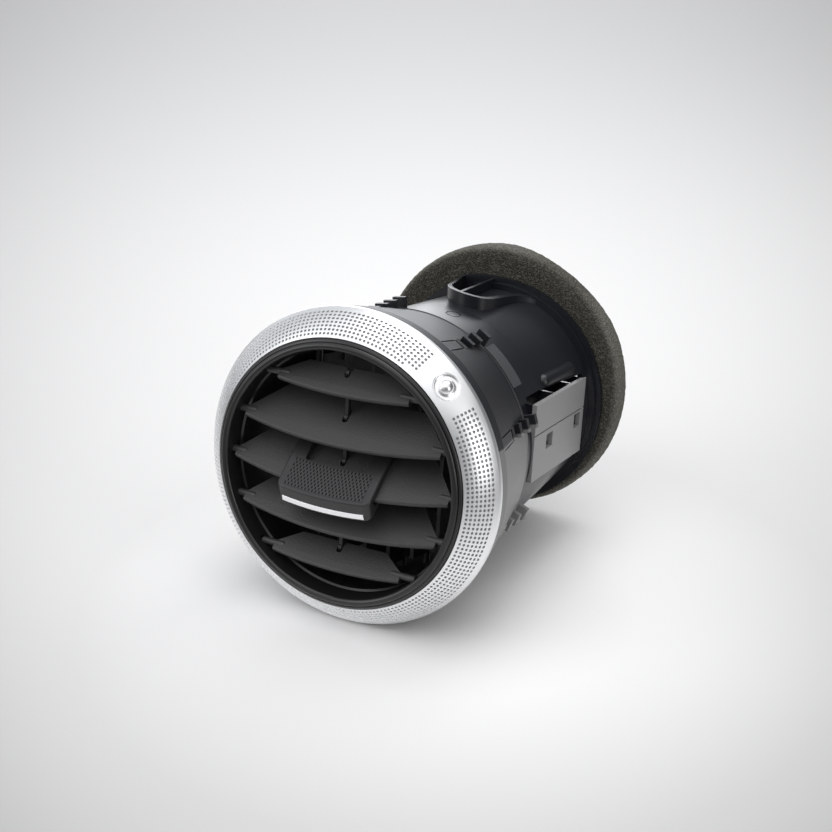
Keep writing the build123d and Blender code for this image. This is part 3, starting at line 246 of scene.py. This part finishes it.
class VentFoamSettings(bpy.types.PropertyGroup):
    foam: colour("Foam", "Colour of the foam seal", (0.045, 0.042, 0.035))
    speckle: colour("Speckle", "Colour of the foam's brighter cells", (0.13, 0.125, 0.105))
    # Painted highlight: the foam's outer edge is paler where its rounded edge catches the light.
    skin: colour("Skin", "Colour of the foam's outer edge", (0.13, 0.126, 0.11))
    dent: length("Dent", "How much flatter the foam is at the upper right", 1.1)
    dent_angle: angle("Dent angle", "Where the dent lies, round from the right", 60.0)
    dent_spread: length("Dent spread", "How far the dent reaches to either side", 22.0)
    edge: length("Edge", "Roundness of the foam's outer edges", 3.2)
    lump: length("Lump", "Size of the foam's lumps", 1.6)
    roughness: length("Roughness", "Height of the foam's lumps", 0.35)


def new_material(name):
    """A material with an empty node tree but for its shader and output."""
    material = bpy.data.materials.new(name)
    material.use_nodes = True
    tree = material.node_tree
    shader = tree.nodes["Principled BSDF"]
    return material, tree, shader


def link(tree, source, output, target, socket):
    tree.links.new(source.outputs[output], target.inputs[socket])


def add_bump(tree, shader, scale, strength, depth, detail=2.0, kind="ShaderNodeTexNoise"):
    """Adds a fine grain on Object coordinates to a shader's normal."""
    coords = tree.nodes.new("ShaderNodeTexCoord")
    grain = tree.nodes.new(kind)
    grain.inputs["Scale"].default_value = scale
    if kind == "ShaderNodeTexNoise":
        grain.inputs["Detail"].default_value = detail
    link(tree, coords, "Object", grain, "Vector")
    bump = tree.nodes.new("ShaderNodeBump")
    bump.inputs["Strength"].default_value = strength
    bump.inputs["Distance"].default_value = depth
    link(tree, grain, 0, bump, "Height")
    link(tree, bump, "Normal", shader, "Normal")
    return coords, grain


def plastic(name, base, roughness, scale=0.0, strength=0.0, depth=0.0, specular=0.5):
    """A plain plastic, with a fine grain where a scale is given."""
    material, tree, shader = new_material(name)
    shader.inputs["Base Color"].default_value = (*base, 1.0)
    shader.inputs["Roughness"].default_value = roughness
    shader.inputs["Specular IOR Level"].default_value = specular
    if scale:
        add_bump(tree, shader, scale, strength, depth)
    return material


def metal(name, base, roughness):
    material, tree, shader = new_material(name)
    shader.inputs["Base Color"].default_value = (*base, 1.0)
    shader.inputs["Metallic"].default_value = 1.0
    shader.inputs["Roughness"].default_value = roughness
    return material


def ring_metal(base):
    """Satin turned aluminium: fine rings round the axis in its roughness."""
    material, tree, shader = new_material("ring_aluminium")
    shader.inputs["Base Color"].default_value = (*base, 1.0)
    shader.inputs["Metallic"].default_value = 1.0
    coords = tree.nodes.new("ShaderNodeTexCoord")
    lines = tree.nodes.new("ShaderNodeTexWave")
    lines.wave_type = "RINGS"
    lines.rings_direction = "Y"
    lines.inputs["Scale"].default_value = 900.0
    lines.inputs["Distortion"].default_value = 1.5
    link(tree, coords, "Object", lines, "Vector")
    satin = tree.nodes.new("ShaderNodeMapRange")
    satin.inputs["To Min"].default_value = 0.34
    satin.inputs["To Max"].default_value = 0.39
    link(tree, lines, "Fac", satin, "Value")
    link(tree, satin, "Result", shader, "Roughness")
    return material


def vector_node(tree, operation, *inputs):
    """A vector maths node whose inputs are sockets or constant vectors."""
    node = tree.nodes.new("ShaderNodeVectorMath")
    node.operation = operation
    for socket, value in zip(node.inputs, inputs):
        if isinstance(value, bpy.types.NodeSocket):
            tree.links.new(value, socket)
        else:
            socket.default_value = value
    return node


def value_node(tree, operation, *inputs):
    """A maths node whose inputs are sockets or constants."""
    node = tree.nodes.new("ShaderNodeMath")
    node.operation = operation
    for socket, value in zip(node.inputs, inputs):
        if isinstance(value, bpy.types.NodeSocket):
            tree.links.new(value, socket)
        else:
            socket.default_value = value
    return node.outputs[0]


def map_node(tree, value, low, high, to_low, to_high):
    """A clamped map from one range to another."""
    node = tree.nodes.new("ShaderNodeMapRange")
    node.inputs["From Min"].default_value = low
    node.inputs["From Max"].default_value = high
    node.inputs["To Min"].default_value = to_low
    node.inputs["To Max"].default_value = to_high
    tree.links.new(value, node.inputs["Value"])
    return node.outputs["Result"]


def floor_material(settings, eye, right, up, ahead):
    """A matt floor with painted light and shade: paler round the object to lift its shadow, and painted
    darker in rings away from it as a falloff of the light.
    """
    material, tree, shader = new_material("floor")
    shader.inputs["Roughness"].default_value = 0.7
    shader.inputs["Specular IOR Level"].default_value = 0.0
    coords = tree.nodes.new("ShaderNodeTexCoord")
    ray = vector_node(tree, "SUBTRACT", coords.outputs["Object"], tuple(eye)).outputs["Vector"]
    depth = vector_node(tree, "DOT_PRODUCT", ray, tuple(ahead)).outputs["Value"]
    half = SENSOR_WIDTH / 2 / settings.lens
    rings = []
    # Painted shade: the floor's colour darkens in rings away from the picture's middle, a painted falloff
    # of the light.
    for axis, shift, fall in zip((right, up), (0.0, settings.floor_painted_falloff_shift), settings.floor_painted_falloff):
        side = vector_node(tree, "DOT_PRODUCT", ray, tuple(axis)).outputs["Value"]
        share = value_node(tree, "SUBTRACT", value_node(tree, "DIVIDE", side, depth), shift * half)
        square = value_node(tree, "MULTIPLY", share, share)
        rings.append(value_node(tree, "MULTIPLY", square, fall / half**2))
    spread = value_node(tree, "ADD", *rings)
    shade = map_node(tree, spread, 0.0, 0.7, 1.0, 0.3)
    # Painted light: the floor is paler close round the vent, lifting the vent's shadow.
    beside = vector_node(tree, "SUBTRACT", coords.outputs["Object"], PAINTED_LIFT_MIDDLE).outputs["Vector"]
    beside = vector_node(tree, "MULTIPLY", beside, (1.0, 1.0, 0.0)).outputs["Vector"]
    reach = vector_node(tree, "LENGTH", beside).outputs["Value"]
    painted_lift = map_node(tree, reach, *PAINTED_LIFT_FADE, settings.floor_painted_lift, 1.0)
    shade = value_node(tree, "MULTIPLY", shade, painted_lift)
    tone = vector_node(tree, "SCALE", tuple(settings.floor_colour))
    tree.links.new(shade, tone.inputs["Scale"])
    tree.links.new(tone.outputs["Vector"], shader.inputs["Base Color"])
    return material


def studio_world(settings):
    """A white surround, brighter on the left than on the right, with a panel low behind."""
    world = bpy.data.worlds.new("studio")
    world.use_nodes = True
    tree = world.node_tree
    background = tree.nodes["Background"]
    background.inputs["Color"].default_value = WORLD_COLOUR
    coords = tree.nodes.new("ShaderNodeTexCoord")
    bright_way = tuple(Vector(BRIGHT_WAY).normalized())
    panel_way = tuple(Vector(PANEL_WAY).normalized())
    facing = vector_node(tree, "DOT_PRODUCT", coords.outputs["Generated"], bright_way).outputs["Value"]
    strength = map_node(tree, facing, -0.25, 0.6, settings.sky_dim, settings.sky_bright)
    behind = vector_node(tree, "DOT_PRODUCT", coords.outputs["Generated"], panel_way).outputs["Value"]
    panel = map_node(tree, behind, 0.88, 0.98, 0.0, settings.sky_panel)
    strength = value_node(tree, "ADD", strength, panel)
    tree.links.new(strength, background.inputs["Strength"])
    return world


def polar(tree, coords, middle=(0.0, 0.0)):
    """Radius and angle about the vent's axis, or one beside it, on Object coordinates."""
    moved = vector_node(tree, "SUBTRACT", coords.outputs["Object"], (middle[0], 0.0, middle[1]))
    parts = tree.nodes.new("ShaderNodeSeparateXYZ")
    tree.links.new(moved.outputs["Vector"], parts.inputs["Vector"])
    flat = vector_node(tree, "MULTIPLY", moved.outputs["Vector"], (1.0, 0.0, 1.0))
    radius = vector_node(tree, "LENGTH", flat.outputs["Vector"]).outputs["Value"]
    turn = value_node(tree, "ARCTAN2", parts.outputs["Z"], parts.outputs["X"])
    return radius, turn, parts.outputs["Y"]


def mix(tree, share, first, second):
    """A colour between two, which are sockets or constants."""
    node = tree.nodes.new("ShaderNodeMix")
    node.data_type = "RGBA"
    tree.links.new(share, node.inputs[0])
    for socket, value in ((node.inputs[6], first), (node.inputs[7], second)):
        if isinstance(value, bpy.types.NodeSocket):
            tree.links.new(value, socket)
        else:
            socket.default_value = (*value, 1.0)
    return node.outputs[2]


def foam_material(settings):
    """Open foam: dark with paler cell walls, a coarse grain and a paler outer edge, a painted highlight
    where the rounded edge catches the light.
    """
    material, tree, shader = new_material("foam_cells")
    shader.inputs["Roughness"].default_value = 0.95
    shader.inputs["Specular IOR Level"].default_value = 0.1
    coords, cells = add_bump(tree, shader, 2200.0, 1.0, 0.0005, kind="ShaderNodeTexVoronoi")
    cloud = tree.nodes.new("ShaderNodeTexNoise")
    cloud.inputs["Scale"].default_value = 1700.0
    cloud.inputs["Detail"].default_value = 4.0
    link(tree, coords, "Object", cloud, "Vector")
    flecks = map_node(tree, cloud.outputs["Fac"], 0.45, 0.75, 0.0, 1.0)
    radius = polar(tree, coords, (FOAM_X * MM, FOAM_Z * MM))[0]
    # Painted highlight on the rounded outer edge: the colour turns paler out towards the rim.
    rim = map_node(tree, radius, (FOAM_RADIUS - 1.9) * MM, (FOAM_RADIUS - 0.5) * MM, 0.0, 1.0)
    inside = mix(tree, flecks, settings.foam, settings.speckle)
    lit_rim_colour = mix(tree, flecks, settings.skin, tuple(1.9 * value for value in settings.skin))
    tree.links.new(mix(tree, rim, inside, lit_rim_colour), shader.inputs["Base Color"])
    return material


def skirt_material(settings):
    """Grained plastic, paler on the tab at the rim, and paler low on the right as painted light."""
    material, tree, shader = new_material("skirt_grained")
    coords, grain = add_bump(tree, shader, 1500.0, 0.3, 0.0002)
    radius, turn, along = polar(tree, coords)
    # Painted light: the colour is paler low on the right.
    low = map_node(tree, turn, *PAINTED_LIGHT_TO, 1.0, 0.0)
    below = map_node(tree, turn, *PAINTED_LIGHT_FROM, 0.0, 1.0)
    painted_light_share = value_node(tree, "MULTIPLY", low, below)
    tab = value_node(tree, "GREATER_THAN", radius, TAB_RADIUS * MM)
    tab = value_node(tree, "MULTIPLY", tab, value_node(tree, "GREATER_THAN", along, TAB_Y * MM))
    tab = value_node(tree, "MULTIPLY", tab, value_node(tree, "COMPARE", turn, TAB_TURN, TAB_HALF))
    tone = mix(tree, painted_light_share, settings.skirt, settings.skirt_painted_light)
    tree.links.new(mix(tree, tab, tone, settings.tab), shader.inputs["Base Color"])
    shader.inputs["Roughness"].default_value = 0.42
    return material


def dress(material, *names):
    """Puts a material on CAD nodes."""
    for name in names:
        nodes[name].data.materials.clear()
        nodes[name].data.materials.append(material)


class VENT_OT_stage(bpy.types.Operator):
    """Adds the floor, the lamps, the world and the camera"""

    bl_idname = "vent.stage"
    bl_label = "Stage"

    def execute(self, context):
        settings = context.scene.vent_stage
        scene = context.scene
        scene.view_settings.view_transform = "Standard"
        a = settings.azimuth
        e = settings.elevation
        back = Vector((math.sin(a) * math.cos(e), -math.cos(a) * math.cos(e), math.sin(e)))
        level = Vector((0, 0, 1)).cross(back).normalized()
        rise = back.cross(level)
        right = math.cos(settings.roll) * level + math.sin(settings.roll) * rise
        up = -math.sin(settings.roll) * level + math.cos(settings.roll) * rise
        place = -settings.shift_right * right - settings.shift_up * up + settings.distance * back
        place.y += settings.outlet_y
        bpy.ops.object.select_all(action="DESELECT")
        bpy.ops.mesh.primitive_plane_add(size=FLOOR_SIZE, location=(0, 0, 0))
        floor = context.object
        floor.name = "floor"
        floor.data.transform(Matrix.Rotation(settings.floor_slope, 4, "X"))
        floor.data.transform(Matrix.Translation((0, settings.floor_y, settings.floor_z)))
        floor.data.materials.append(floor_material(settings, place, right, up, -back))

        scene.world = studio_world(settings)

        def wide_light(name, tilt, strength, spread):
            rotation = (math.radians(tilt[0]), math.radians(tilt[1]), 0)
            bpy.ops.object.light_add(type="SUN", rotation=rotation)
            sun = context.object
            sun.name = name
            sun.data.energy = strength
            sun.data.angle = math.radians(spread)

        for name, tilt, spread in WIDE_LIGHTS:
            wide_light(name, tilt, getattr(settings, name), spread)

        def softbox(name, stand, target, size, power):
            bpy.ops.object.light_add(type="AREA", location=stand)
            lamp = context.object
            lamp.name = name
            lamp.data.shape = "RECTANGLE"
            lamp.data.size = size[0]
            lamp.data.size_y = size[1]
            lamp.data.energy = power
            aim = Vector(target) - Vector(stand)
            lamp.rotation_euler = aim.to_track_quat("-Z", "Y").to_euler()

        for lamp in SOFTBOXES:
            softbox(*lamp)

        data = bpy.data.cameras.new("camera")
        data.lens = settings.lens
        data.sensor_width = SENSOR_WIDTH
        data.clip_start = 0.01
        data.clip_end = 20.0
        camera = bpy.data.objects.new("camera", data)
        scene.collection.objects.link(camera)
        camera.matrix_world = Matrix(
            (
                (right.x, up.x, back.x, place.x),
                (right.y, up.y, back.y, place.y),
                (right.z, up.z, back.z, place.z),
                (0, 0, 0, 1),
            )
        )
        scene.camera = camera
        return {"FINISHED"}


class VENT_OT_plastics(bpy.types.Operator):
    """Puts the plastics on the housing, the vanes and the mechanism"""

    bl_idname = "vent.plastics"
    bl_label = "Plastics"

    def execute(self, context):
        settings = context.scene.vent_plastic
        bezel = plastic("bezel_black", settings.bezel, 0.28)
        skirt = skirt_material(settings)
        # The cover's paler colour is painted light from the right.
        cover = plastic("cover_satin", settings.cover, 0.4, 900.0, 0.06, 0.0002)
        body = plastic("housing_satin", settings.body, 0.3, 900.0, 0.06, 0.0002)
        vane = plastic("vane_black", settings.vane, 0.44, 2800.0, 0.55, 0.0002)
        knob = plastic("knob_black", settings.knob, 0.38, 2200.0, 0.15, 0.0001)
        inner = plastic("link_black", (0.012, 0.012, 0.012), 0.45)
        acetal = plastic("mechanism_plastic", (0.5, 0.5, 0.47), 0.4)
        rubber = plastic("seal_rubber", (0.02, 0.02, 0.02), 0.6)
        dress(bezel, "inner_bezel")
        dress(skirt, "front_housing")
        dress(body, "rear_housing")
        dress(cover, "side_cover")
        dress(vane, *(name for name in nodes if name.startswith("vane_") and name != "vane_link"))
        dress(vane, *(name for name in nodes if name.startswith("vertical_vane_")))
        dress(knob, "knob_upper", "knob_lower")
        dress(inner, "ring_carrier", "vane_link", "knob_fork", "rear_link", "flap_plate")
        dress(acetal, "control_slider", "flap_shaft")
        dress(rubber, "flap_seal")
        return {"FINISHED"}


def face_place(share, lift=0.0):
    """Radius and y on the ring's crowned face, at a share of its width and off its surface."""
    width = RING_OUTER - RING_INNER
    chord = math.hypot(width, RING_DEPTH)
    arc_radius = chord**2 / (8 * RING_BULGE) + RING_BULGE / 2
    crown = math.sqrt(arc_radius**2 - (chord * (share - 0.5)) ** 2) - (arc_radius - RING_BULGE) + lift
    return (
        RING_INNER + width * share + crown * RING_DEPTH / chord,
        RING_LIP_Y + RING_DEPTH * share - crown * width / chord,
    )


def round_place(radius, y, turn):
    """The place at a radius and y, turned round the axis from the right."""
    return Vector((radius * math.cos(turn), y, radius * math.sin(turn))) * MM


def select_faces(piece, wanted):
    """Selects in edit mode the faces for which wanted(face) holds."""
    bpy.ops.mesh.select_mode(type="FACE")
    bpy.ops.mesh.select_all(action="DESELECT")
    mesh = bmesh.from_edit_mesh(piece.data)
    for face in mesh.faces:
        if wanted(face):
            face.select_set(True)
    bmesh.update_edit_mesh(piece.data)


def turned(name, profile, columns, turn=0.0):
    """A solid turned about Y: a circle is drawn out ring by ring along a closed (radius, y) profile."""
    bpy.ops.object.select_all(action="DESELECT")
    first = profile[0]
    bpy.ops.mesh.primitive_circle_add(
        vertices=columns, radius=first[0] * MM, rotation=(math.pi / 2, turn, 0)
    )
    piece = bpy.context.object
    piece.name = name
    bpy.ops.object.transform_apply(location=False, rotation=True, scale=False)
    bpy.ops.object.mode_set(mode="EDIT")
    bpy.ops.mesh.select_mode(type="VERT")
    bpy.ops.mesh.select_all(action="SELECT")
    bpy.ops.transform.translate(value=(0, first[1] * MM, 0))
    for before, after in zip(profile, profile[1:] + [first]):
        step = (0, (after[1] - before[1]) * MM, 0)
        bpy.ops.mesh.extrude_region_move(TRANSFORM_OT_translate={"value": step})
        share = after[0] / before[0]
        bpy.ops.transform.resize(value=(share, 1, share), center_override=(0, 0, 0))
    bpy.ops.mesh.select_all(action="SELECT")
    bpy.ops.mesh.remove_doubles(threshold=0.001 * MM)
    bpy.ops.mesh.normals_make_consistent(inside=False)
    bpy.ops.object.mode_set(mode="OBJECT")
    return piece


def combine(piece, tool, operation):
    """Joins a tool to a piece, or cuts it out, and deletes the tool."""
    bpy.context.view_layer.objects.active = piece
    modifier = piece.modifiers.new("combine", "BOOLEAN")
    modifier.operation = operation
    modifier.solver = "EXACT"
    modifier.object = tool
    bpy.ops.object.modifier_apply(modifier="combine")
    bpy.data.objects.remove(tool)


def pit_faces(piece, margin, corner, depth, taper):
    """Sinks a small eight-sided pit in each selected face and gives its floor the second material."""
    bpy.ops.mesh.inset(thickness=margin, use_individual=True)
    bpy.ops.mesh.bevel(offset=corner, affect="VERTICES")
    bpy.ops.mesh.select_mode(type="FACE")
    mesh = bmesh.from_edit_mesh(piece.data)
    for face in mesh.faces:
        face.select_set(face.select and len(face.verts) == 8)
    bmesh.update_edit_mesh(piece.data)
    bpy.ops.mesh.inset(thickness=taper, depth=-depth, use_individual=True)
    for face in bmesh.from_edit_mesh(piece.data).faces:
        if face.select:
            face.material_index = 1
    bmesh.update_edit_mesh(piece.data)


class VENT_OT_ring(bpy.types.Operator):
    """Adds the turned ring with its finger mark and its field of small pits"""

    bl_idname = "vent.ring"
    bl_label = "Ring"

    def execute(self, context):
        settings = context.scene.vent_ring
        shares = [0.0]
        shares += [settings.first_row + settings.row_share * i for i in range(settings.rows + 1)]
        shares += [0.89, 0.945]
        face = [face_place(share) for share in shares]
        corner = face_place(1.0)
        start = face_place(1.0 - SHOULDER_REACH / 10)
        end = (RING_OUTER, corner[1] + SHOULDER_REACH)
        for i in range(SHOULDER_STEPS):
            way = i / (SHOULDER_STEPS - 1)
            face.append(
                tuple(
                    (1 - way) ** 2 * a + 2 * way * (1 - way) * b + way**2 * c
                    for a, b, c in zip(start, corner, end)
                )
            )
        inner = [face_place(i / 6, -RING_WALL) for i in range(6, -1, -1)]
        rim = [(RING_OUTER, RING_BACK_Y), (RING_OUTER - RING_WALL, RING_BACK_Y)]
        rim.append((RING_OUTER - RING_WALL, inner[1][1] + 0.4))
        profile = face + rim + [point for point in inner if point[0] < RING_OUTER - RING_WALL - 0.2]
        column = 2 * math.pi / settings.columns
        ring = turned("ring", profile, settings.columns, column / 2)

        foot = face_place(MARK_SHARE)
        lift = face_place(MARK_SHARE, 1.0)
        place = round_place(*foot, MARK_ANGLE)
        normal = (round_place(*lift, MARK_ANGLE) - place).normalized()
        stand = Matrix.Translation(place) @ normal.to_track_quat("Y", "Z").to_matrix().to_4x4()
        dish = turned("dish", DISH_PROFILE, MARK_SIDES)
        dish.matrix_world = stand
        combine(ring, dish, "DIFFERENCE")
        cap = turned("dome", DOME_PROFILE, MARK_SIDES)
        cap.matrix_world = stand
        combine(ring, cap, "UNION")

        bpy.ops.object.mode_set(mode="EDIT")
        rows = [
            face_place(settings.first_row + settings.row_share * (i + 0.5)) for i in range(settings.rows)
        ]

        def has_pit(cell):
            middle = cell.calc_center_median() / MM
            away = abs(math.atan2(middle.z, middle.x) - MARK_ANGLE)
            away = min(away, 2 * math.pi - away)
            radius = math.hypot(middle.x, middle.z)
            for i, (row_radius, row_y) in enumerate(rows):
                if abs(radius - row_radius) < 0.15 and abs(middle.y - row_y) < 0.15:
                    return away > (settings.bare_half_inside if i == 0 else settings.bare_half)
            return False

        ring.data.materials.append(ring_metal(settings.metal))
        ring.data.materials.append(metal("pit_floor", (0.27, 0.275, 0.28), 0.5))
        ring.data.materials.append(metal("mark_polished", (0.88, 0.88, 0.89), 0.27))
        select_faces(ring, lambda cell: max((v.co - place).length for v in cell.verts) < MARK_RADIUS * MM)
        for cell in bmesh.from_edit_mesh(ring.data).faces:
            if cell.select:
                cell.material_index = 2
        bmesh.update_edit_mesh(ring.data)
        select_faces(ring, has_pit)
        pit_faces(ring, settings.pit_margin, settings.pit_corner, settings.pit_depth, settings.pit_taper)
        bpy.ops.object.mode_set(mode="OBJECT")
        bpy.ops.object.select_all(action="DESELECT")
        ring.select_set(True)
        context.view_layer.objects.active = ring
        bpy.ops.object.shade_smooth_by_angle(angle=math.radians(32))
        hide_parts("trim_ring")
        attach(ring, BODY_OF["trim_ring"])
        dress(metal("bright_strip", (0.9, 0.9, 0.92), 0.25), "knob_trim_strip")
        return {"FINISHED"}


def vane_place(across, along, off):
    """A place in the centre vane's plane: along its pivot, rearwards in its chord and off its face."""
    return Vector(
        (
            across,
            VANE_PIVOT_Y * MM + along * math.cos(VANE_TILT) - off * math.sin(VANE_TILT),
            along * math.sin(VANE_TILT) + off * math.cos(VANE_TILT),
        )
    )


class VENT_OT_pad(bpy.types.Operator):
    """Adds the thin pitted pad on the knob's upper face"""

    bl_idname = "vent.pad"
    bl_label = "Knob pad"

    def execute(self, context):
        settings = context.scene.vent_pad
        depth = settings.front - settings.back
        bpy.ops.object.select_all(action="DESELECT")
        bpy.ops.mesh.primitive_grid_add(
            x_subdivisions=settings.columns, y_subdivisions=settings.rows, size=1.0
        )
        pad = context.object
        pad.name = "knob_pad"
        pad.scale = (settings.width, depth, 1)
        bpy.ops.object.transform_apply(location=False, rotation=False, scale=True)
        bpy.ops.object.mode_set(mode="EDIT")
        bpy.ops.mesh.select_mode(type="VERT")
        cell = settings.width / settings.columns
        for column in range(settings.columns + 1):
            across = cell * column - settings.width / 2
            bpy.ops.mesh.select_all(action="DESELECT")
            mesh = bmesh.from_edit_mesh(pad.data)
            for vertex in mesh.verts:
                if abs(vertex.co.x - across) < cell / 4:
                    vertex.select_set(True)
            bmesh.update_edit_mesh(pad.data)
            bow = across**2 / (2 * KNOB_BOW_RADIUS * MM)
            bpy.ops.transform.translate(value=(0, bow, 0))
        bpy.ops.mesh.select_mode(type="EDGE")
        bpy.ops.mesh.select_all(action="SELECT")
        bpy.ops.mesh.region_to_loop()
        bpy.ops.mesh.extrude_region_move(TRANSFORM_OT_translate={"value": (0, 0, -settings.rise)})
        bpy.ops.transform.resize(value=(1.012, 1.035, 1), center_override=(0, 0, 0))
        row = depth / settings.rows

        def has_pit(face):
            if abs(face.normal.z) < 0.9:
                return False
            middle = face.calc_center_median()
            column = math.floor((middle.x + settings.width / 2) / cell)
            bow = (cell * (column + 0.5) - settings.width / 2) ** 2 / (2 * KNOB_BOW_RADIUS * MM)
            return (column + math.floor((middle.y - bow + depth / 2) / row)) % 2 == 0

        knob = plastic("pad_black", (0.03, 0.03, 0.031), 0.5, 2200.0, 0.1, 0.0001)
        pad.data.materials.append(knob)
        # Painted shade: the pits' floors are near-black, standing in for the dark shadows among the pad's
        # dots.
        pad.data.materials.append(plastic("pad_pit", (0.002, 0.002, 0.002), 0.8))
        bpy.ops.mesh.select_all(action="SELECT")
        bpy.ops.mesh.normals_make_consistent(inside=False)
        select_faces(pad, has_pit)
        pit_faces(pad, settings.pit_margin, settings.pit_corner, settings.rise * 0.9, 0.02 * MM)
        bpy.ops.object.mode_set(mode="OBJECT")
        right = Vector((1, 0, 0))
        off = vane_place(0, 0, 1) - vane_place(0, 0, 0)
        along = vane_place(0, 1, 0) - vane_place(0, 0, 0)
        middle = vane_place(KNOB_X * MM, -(settings.front + settings.back) / 2, KNOB_HALF_HEIGHT * MM)
        middle += off * settings.rise
        turn = Matrix((right, along, off)).transposed().to_4x4()
        pad.matrix_world = Matrix.Translation(middle) @ turn
        bpy.ops.object.transform_apply(location=True, rotation=True, scale=True)
        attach(pad, BODY_OF["knob_upper"])
        return {"FINISHED"}


class VENT_OT_foam(bpy.types.Operator):
    """Adds the foam seal, a thick lumpy collar with soft edges"""

    bl_idname = "vent.foam"
    bl_label = "Foam"

    def execute(self, context):
        settings = context.scene.vent_foam
        bpy.ops.object.select_all(action="DESELECT")
        bpy.ops.mesh.primitive_circle_add(
            vertices=FOAM_SIDES, radius=FOAM_RADIUS * MM, rotation=(math.pi / 2, 0, 0)
        )
        foam = context.object
        foam.name = "foam"
        bpy.ops.object.transform_apply(location=False, rotation=True, scale=False)
        bpy.ops.object.mode_set(mode="EDIT")
        bpy.ops.mesh.select_mode(type="VERT")
        bpy.ops.mesh.select_all(action="SELECT")
        bpy.ops.transform.translate(value=(FOAM_X * MM, FOAM_FRONT_Y * MM, FOAM_Z * MM))
        thick = (FOAM_BACK_Y - FOAM_FRONT_Y) * MM
        neck = (NECK_X * MM, 0, NECK_Z * MM)
        bpy.ops.mesh.extrude_region_move(TRANSFORM_OT_translate={"value": (0, thick, 0)})
        shift = ((NECK_X - FOAM_X) * MM, 0, (NECK_Z - FOAM_Z) * MM)
        bpy.ops.mesh.extrude_region_move(TRANSFORM_OT_translate={"value": shift})
        share = NECK_RADIUS / FOAM_RADIUS
        bpy.ops.transform.resize(value=(share, 1, share), center_override=neck)
        bpy.ops.mesh.extrude_region_move(TRANSFORM_OT_translate={"value": (0, -thick, 0)})
        bpy.ops.mesh.extrude_region_move(
            TRANSFORM_OT_translate={"value": tuple(-value for value in shift)}
        )
        foam_middle = (FOAM_X * MM, 0, FOAM_Z * MM)
        bpy.ops.transform.resize(value=(1 / share, 1, 1 / share), center_override=foam_middle)
        bpy.ops.mesh.select_all(action="SELECT")
        bpy.ops.mesh.remove_doubles(threshold=0.01 * MM)
        bpy.ops.mesh.normals_make_consistent(inside=False)
        bpy.ops.mesh.select_mode(type="EDGE")
        bpy.ops.mesh.select_all(action="DESELECT")
        mesh = bmesh.from_edit_mesh(foam.data)
        for edge in mesh.edges:
            turn = edge.calc_face_angle(0)
            reach = [math.hypot(v.co.x - foam_middle[0], v.co.z - foam_middle[2]) for v in edge.verts]
            if turn > 1.0 and min(reach) > (FOAM_RADIUS - 0.5) * MM:
                edge.select_set(True)
        bmesh.update_edit_mesh(foam.data)
        bpy.ops.mesh.bevel(offset=settings.edge, segments=4, affect="EDGES")
        bpy.ops.mesh.select_mode(type="FACE")
        for passes in range(2):
            select_faces(foam, lambda face: face.calc_area() > 2.0 * MM**2)
            bpy.ops.mesh.subdivide(number_cuts=3 if passes == 0 else 1, quadcorner="INNERVERT")
        out = Vector((math.cos(settings.dent_angle), 0, math.sin(settings.dent_angle)))
        edge_place = Vector((FOAM_X, 0, FOAM_Z)) * MM + out * FOAM_RADIUS * MM
        bpy.ops.mesh.select_mode(type="VERT")
        bpy.ops.mesh.select_all(action="DESELECT")
        mesh = bmesh.from_edit_mesh(foam.data)
        for vertex in mesh.verts:
            if math.hypot(vertex.co.x - edge_place.x, vertex.co.z - edge_place.z) < 2 * MM:
                vertex.select_set(True)
        bmesh.update_edit_mesh(foam.data)
        bpy.ops.transform.translate(
            value=tuple(-settings.dent * out),
            use_proportional_edit=True,
            proportional_edit_falloff="SMOOTH",
            proportional_size=settings.dent_spread,
        )
        bpy.ops.object.mode_set(mode="OBJECT")
        bpy.ops.object.modifier_add(type="SUBSURF")
        foam.modifiers[-1].levels = 1
        bpy.ops.object.modifier_apply(modifier=foam.modifiers[-1].name)
        lumps = bpy.data.textures.new("foam_lumps", "CLOUDS")
        lumps.noise_scale = settings.lump
        lumps.noise_depth = 2
        modifier = foam.modifiers.new("lumps", "DISPLACE")
        modifier.texture = lumps
        modifier.texture_coords = "LOCAL"
        modifier.strength = settings.roughness
        modifier.mid_level = 0.8
        bpy.ops.object.modifier_apply(modifier="lumps")
        bpy.ops.object.shade_smooth()
        foam.data.materials.append(foam_material(settings))
        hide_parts("foam_seal")
        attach(foam, BODY_OF["foam_seal"])
        return {"FINISHED"}


OPERATORS = (VENT_OT_ring, VENT_OT_pad, VENT_OT_plastics, VENT_OT_foam, VENT_OT_stage)
GROUPS = {
    "vent_stage": VentStageSettings,
    "vent_ring": VentRingSettings,
    "vent_pad": VentPadSettings,
    "vent_plastic": VentPlasticSettings,
    "vent_foam": VentFoamSettings,
}


class VENT_PT_panel(bpy.types.Panel):
    """Lists the vent's operators and settings"""

    bl_idname = "VENT_PT_panel"
    bl_label = "Air Vent"
    bl_space_type = "VIEW_3D"
    bl_region_type = "UI"
    bl_category = "Air Vent"

    def draw(self, context):
        for name, group in GROUPS.items():
            box = self.layout.box()
            for key in group.__annotations__:
                box.prop(getattr(context.scene, name), key)
        for operator in OPERATORS:
            self.layout.operator(operator.bl_idname)


def register():
    for name, group in GROUPS.items():
        bpy.utils.register_class(group)
        setattr(bpy.types.Scene, name, bpy.props.PointerProperty(type=group))
    for cls in (*OPERATORS, VENT_PT_panel):
        bpy.utils.register_class(cls)


def unregister():
    for cls in (VENT_PT_panel, *reversed(OPERATORS)):
        bpy.utils.unregister_class(cls)
    for name, group in reversed(list(GROUPS.items())):
        delattr(bpy.types.Scene, name)
        bpy.utils.unregister_class(group)


def main():
    register()
    for operator in OPERATORS:
        category, name = operator.bl_idname.split(".")
        getattr(getattr(bpy.ops, category), name)()


if __name__ == "__main__":
    main()
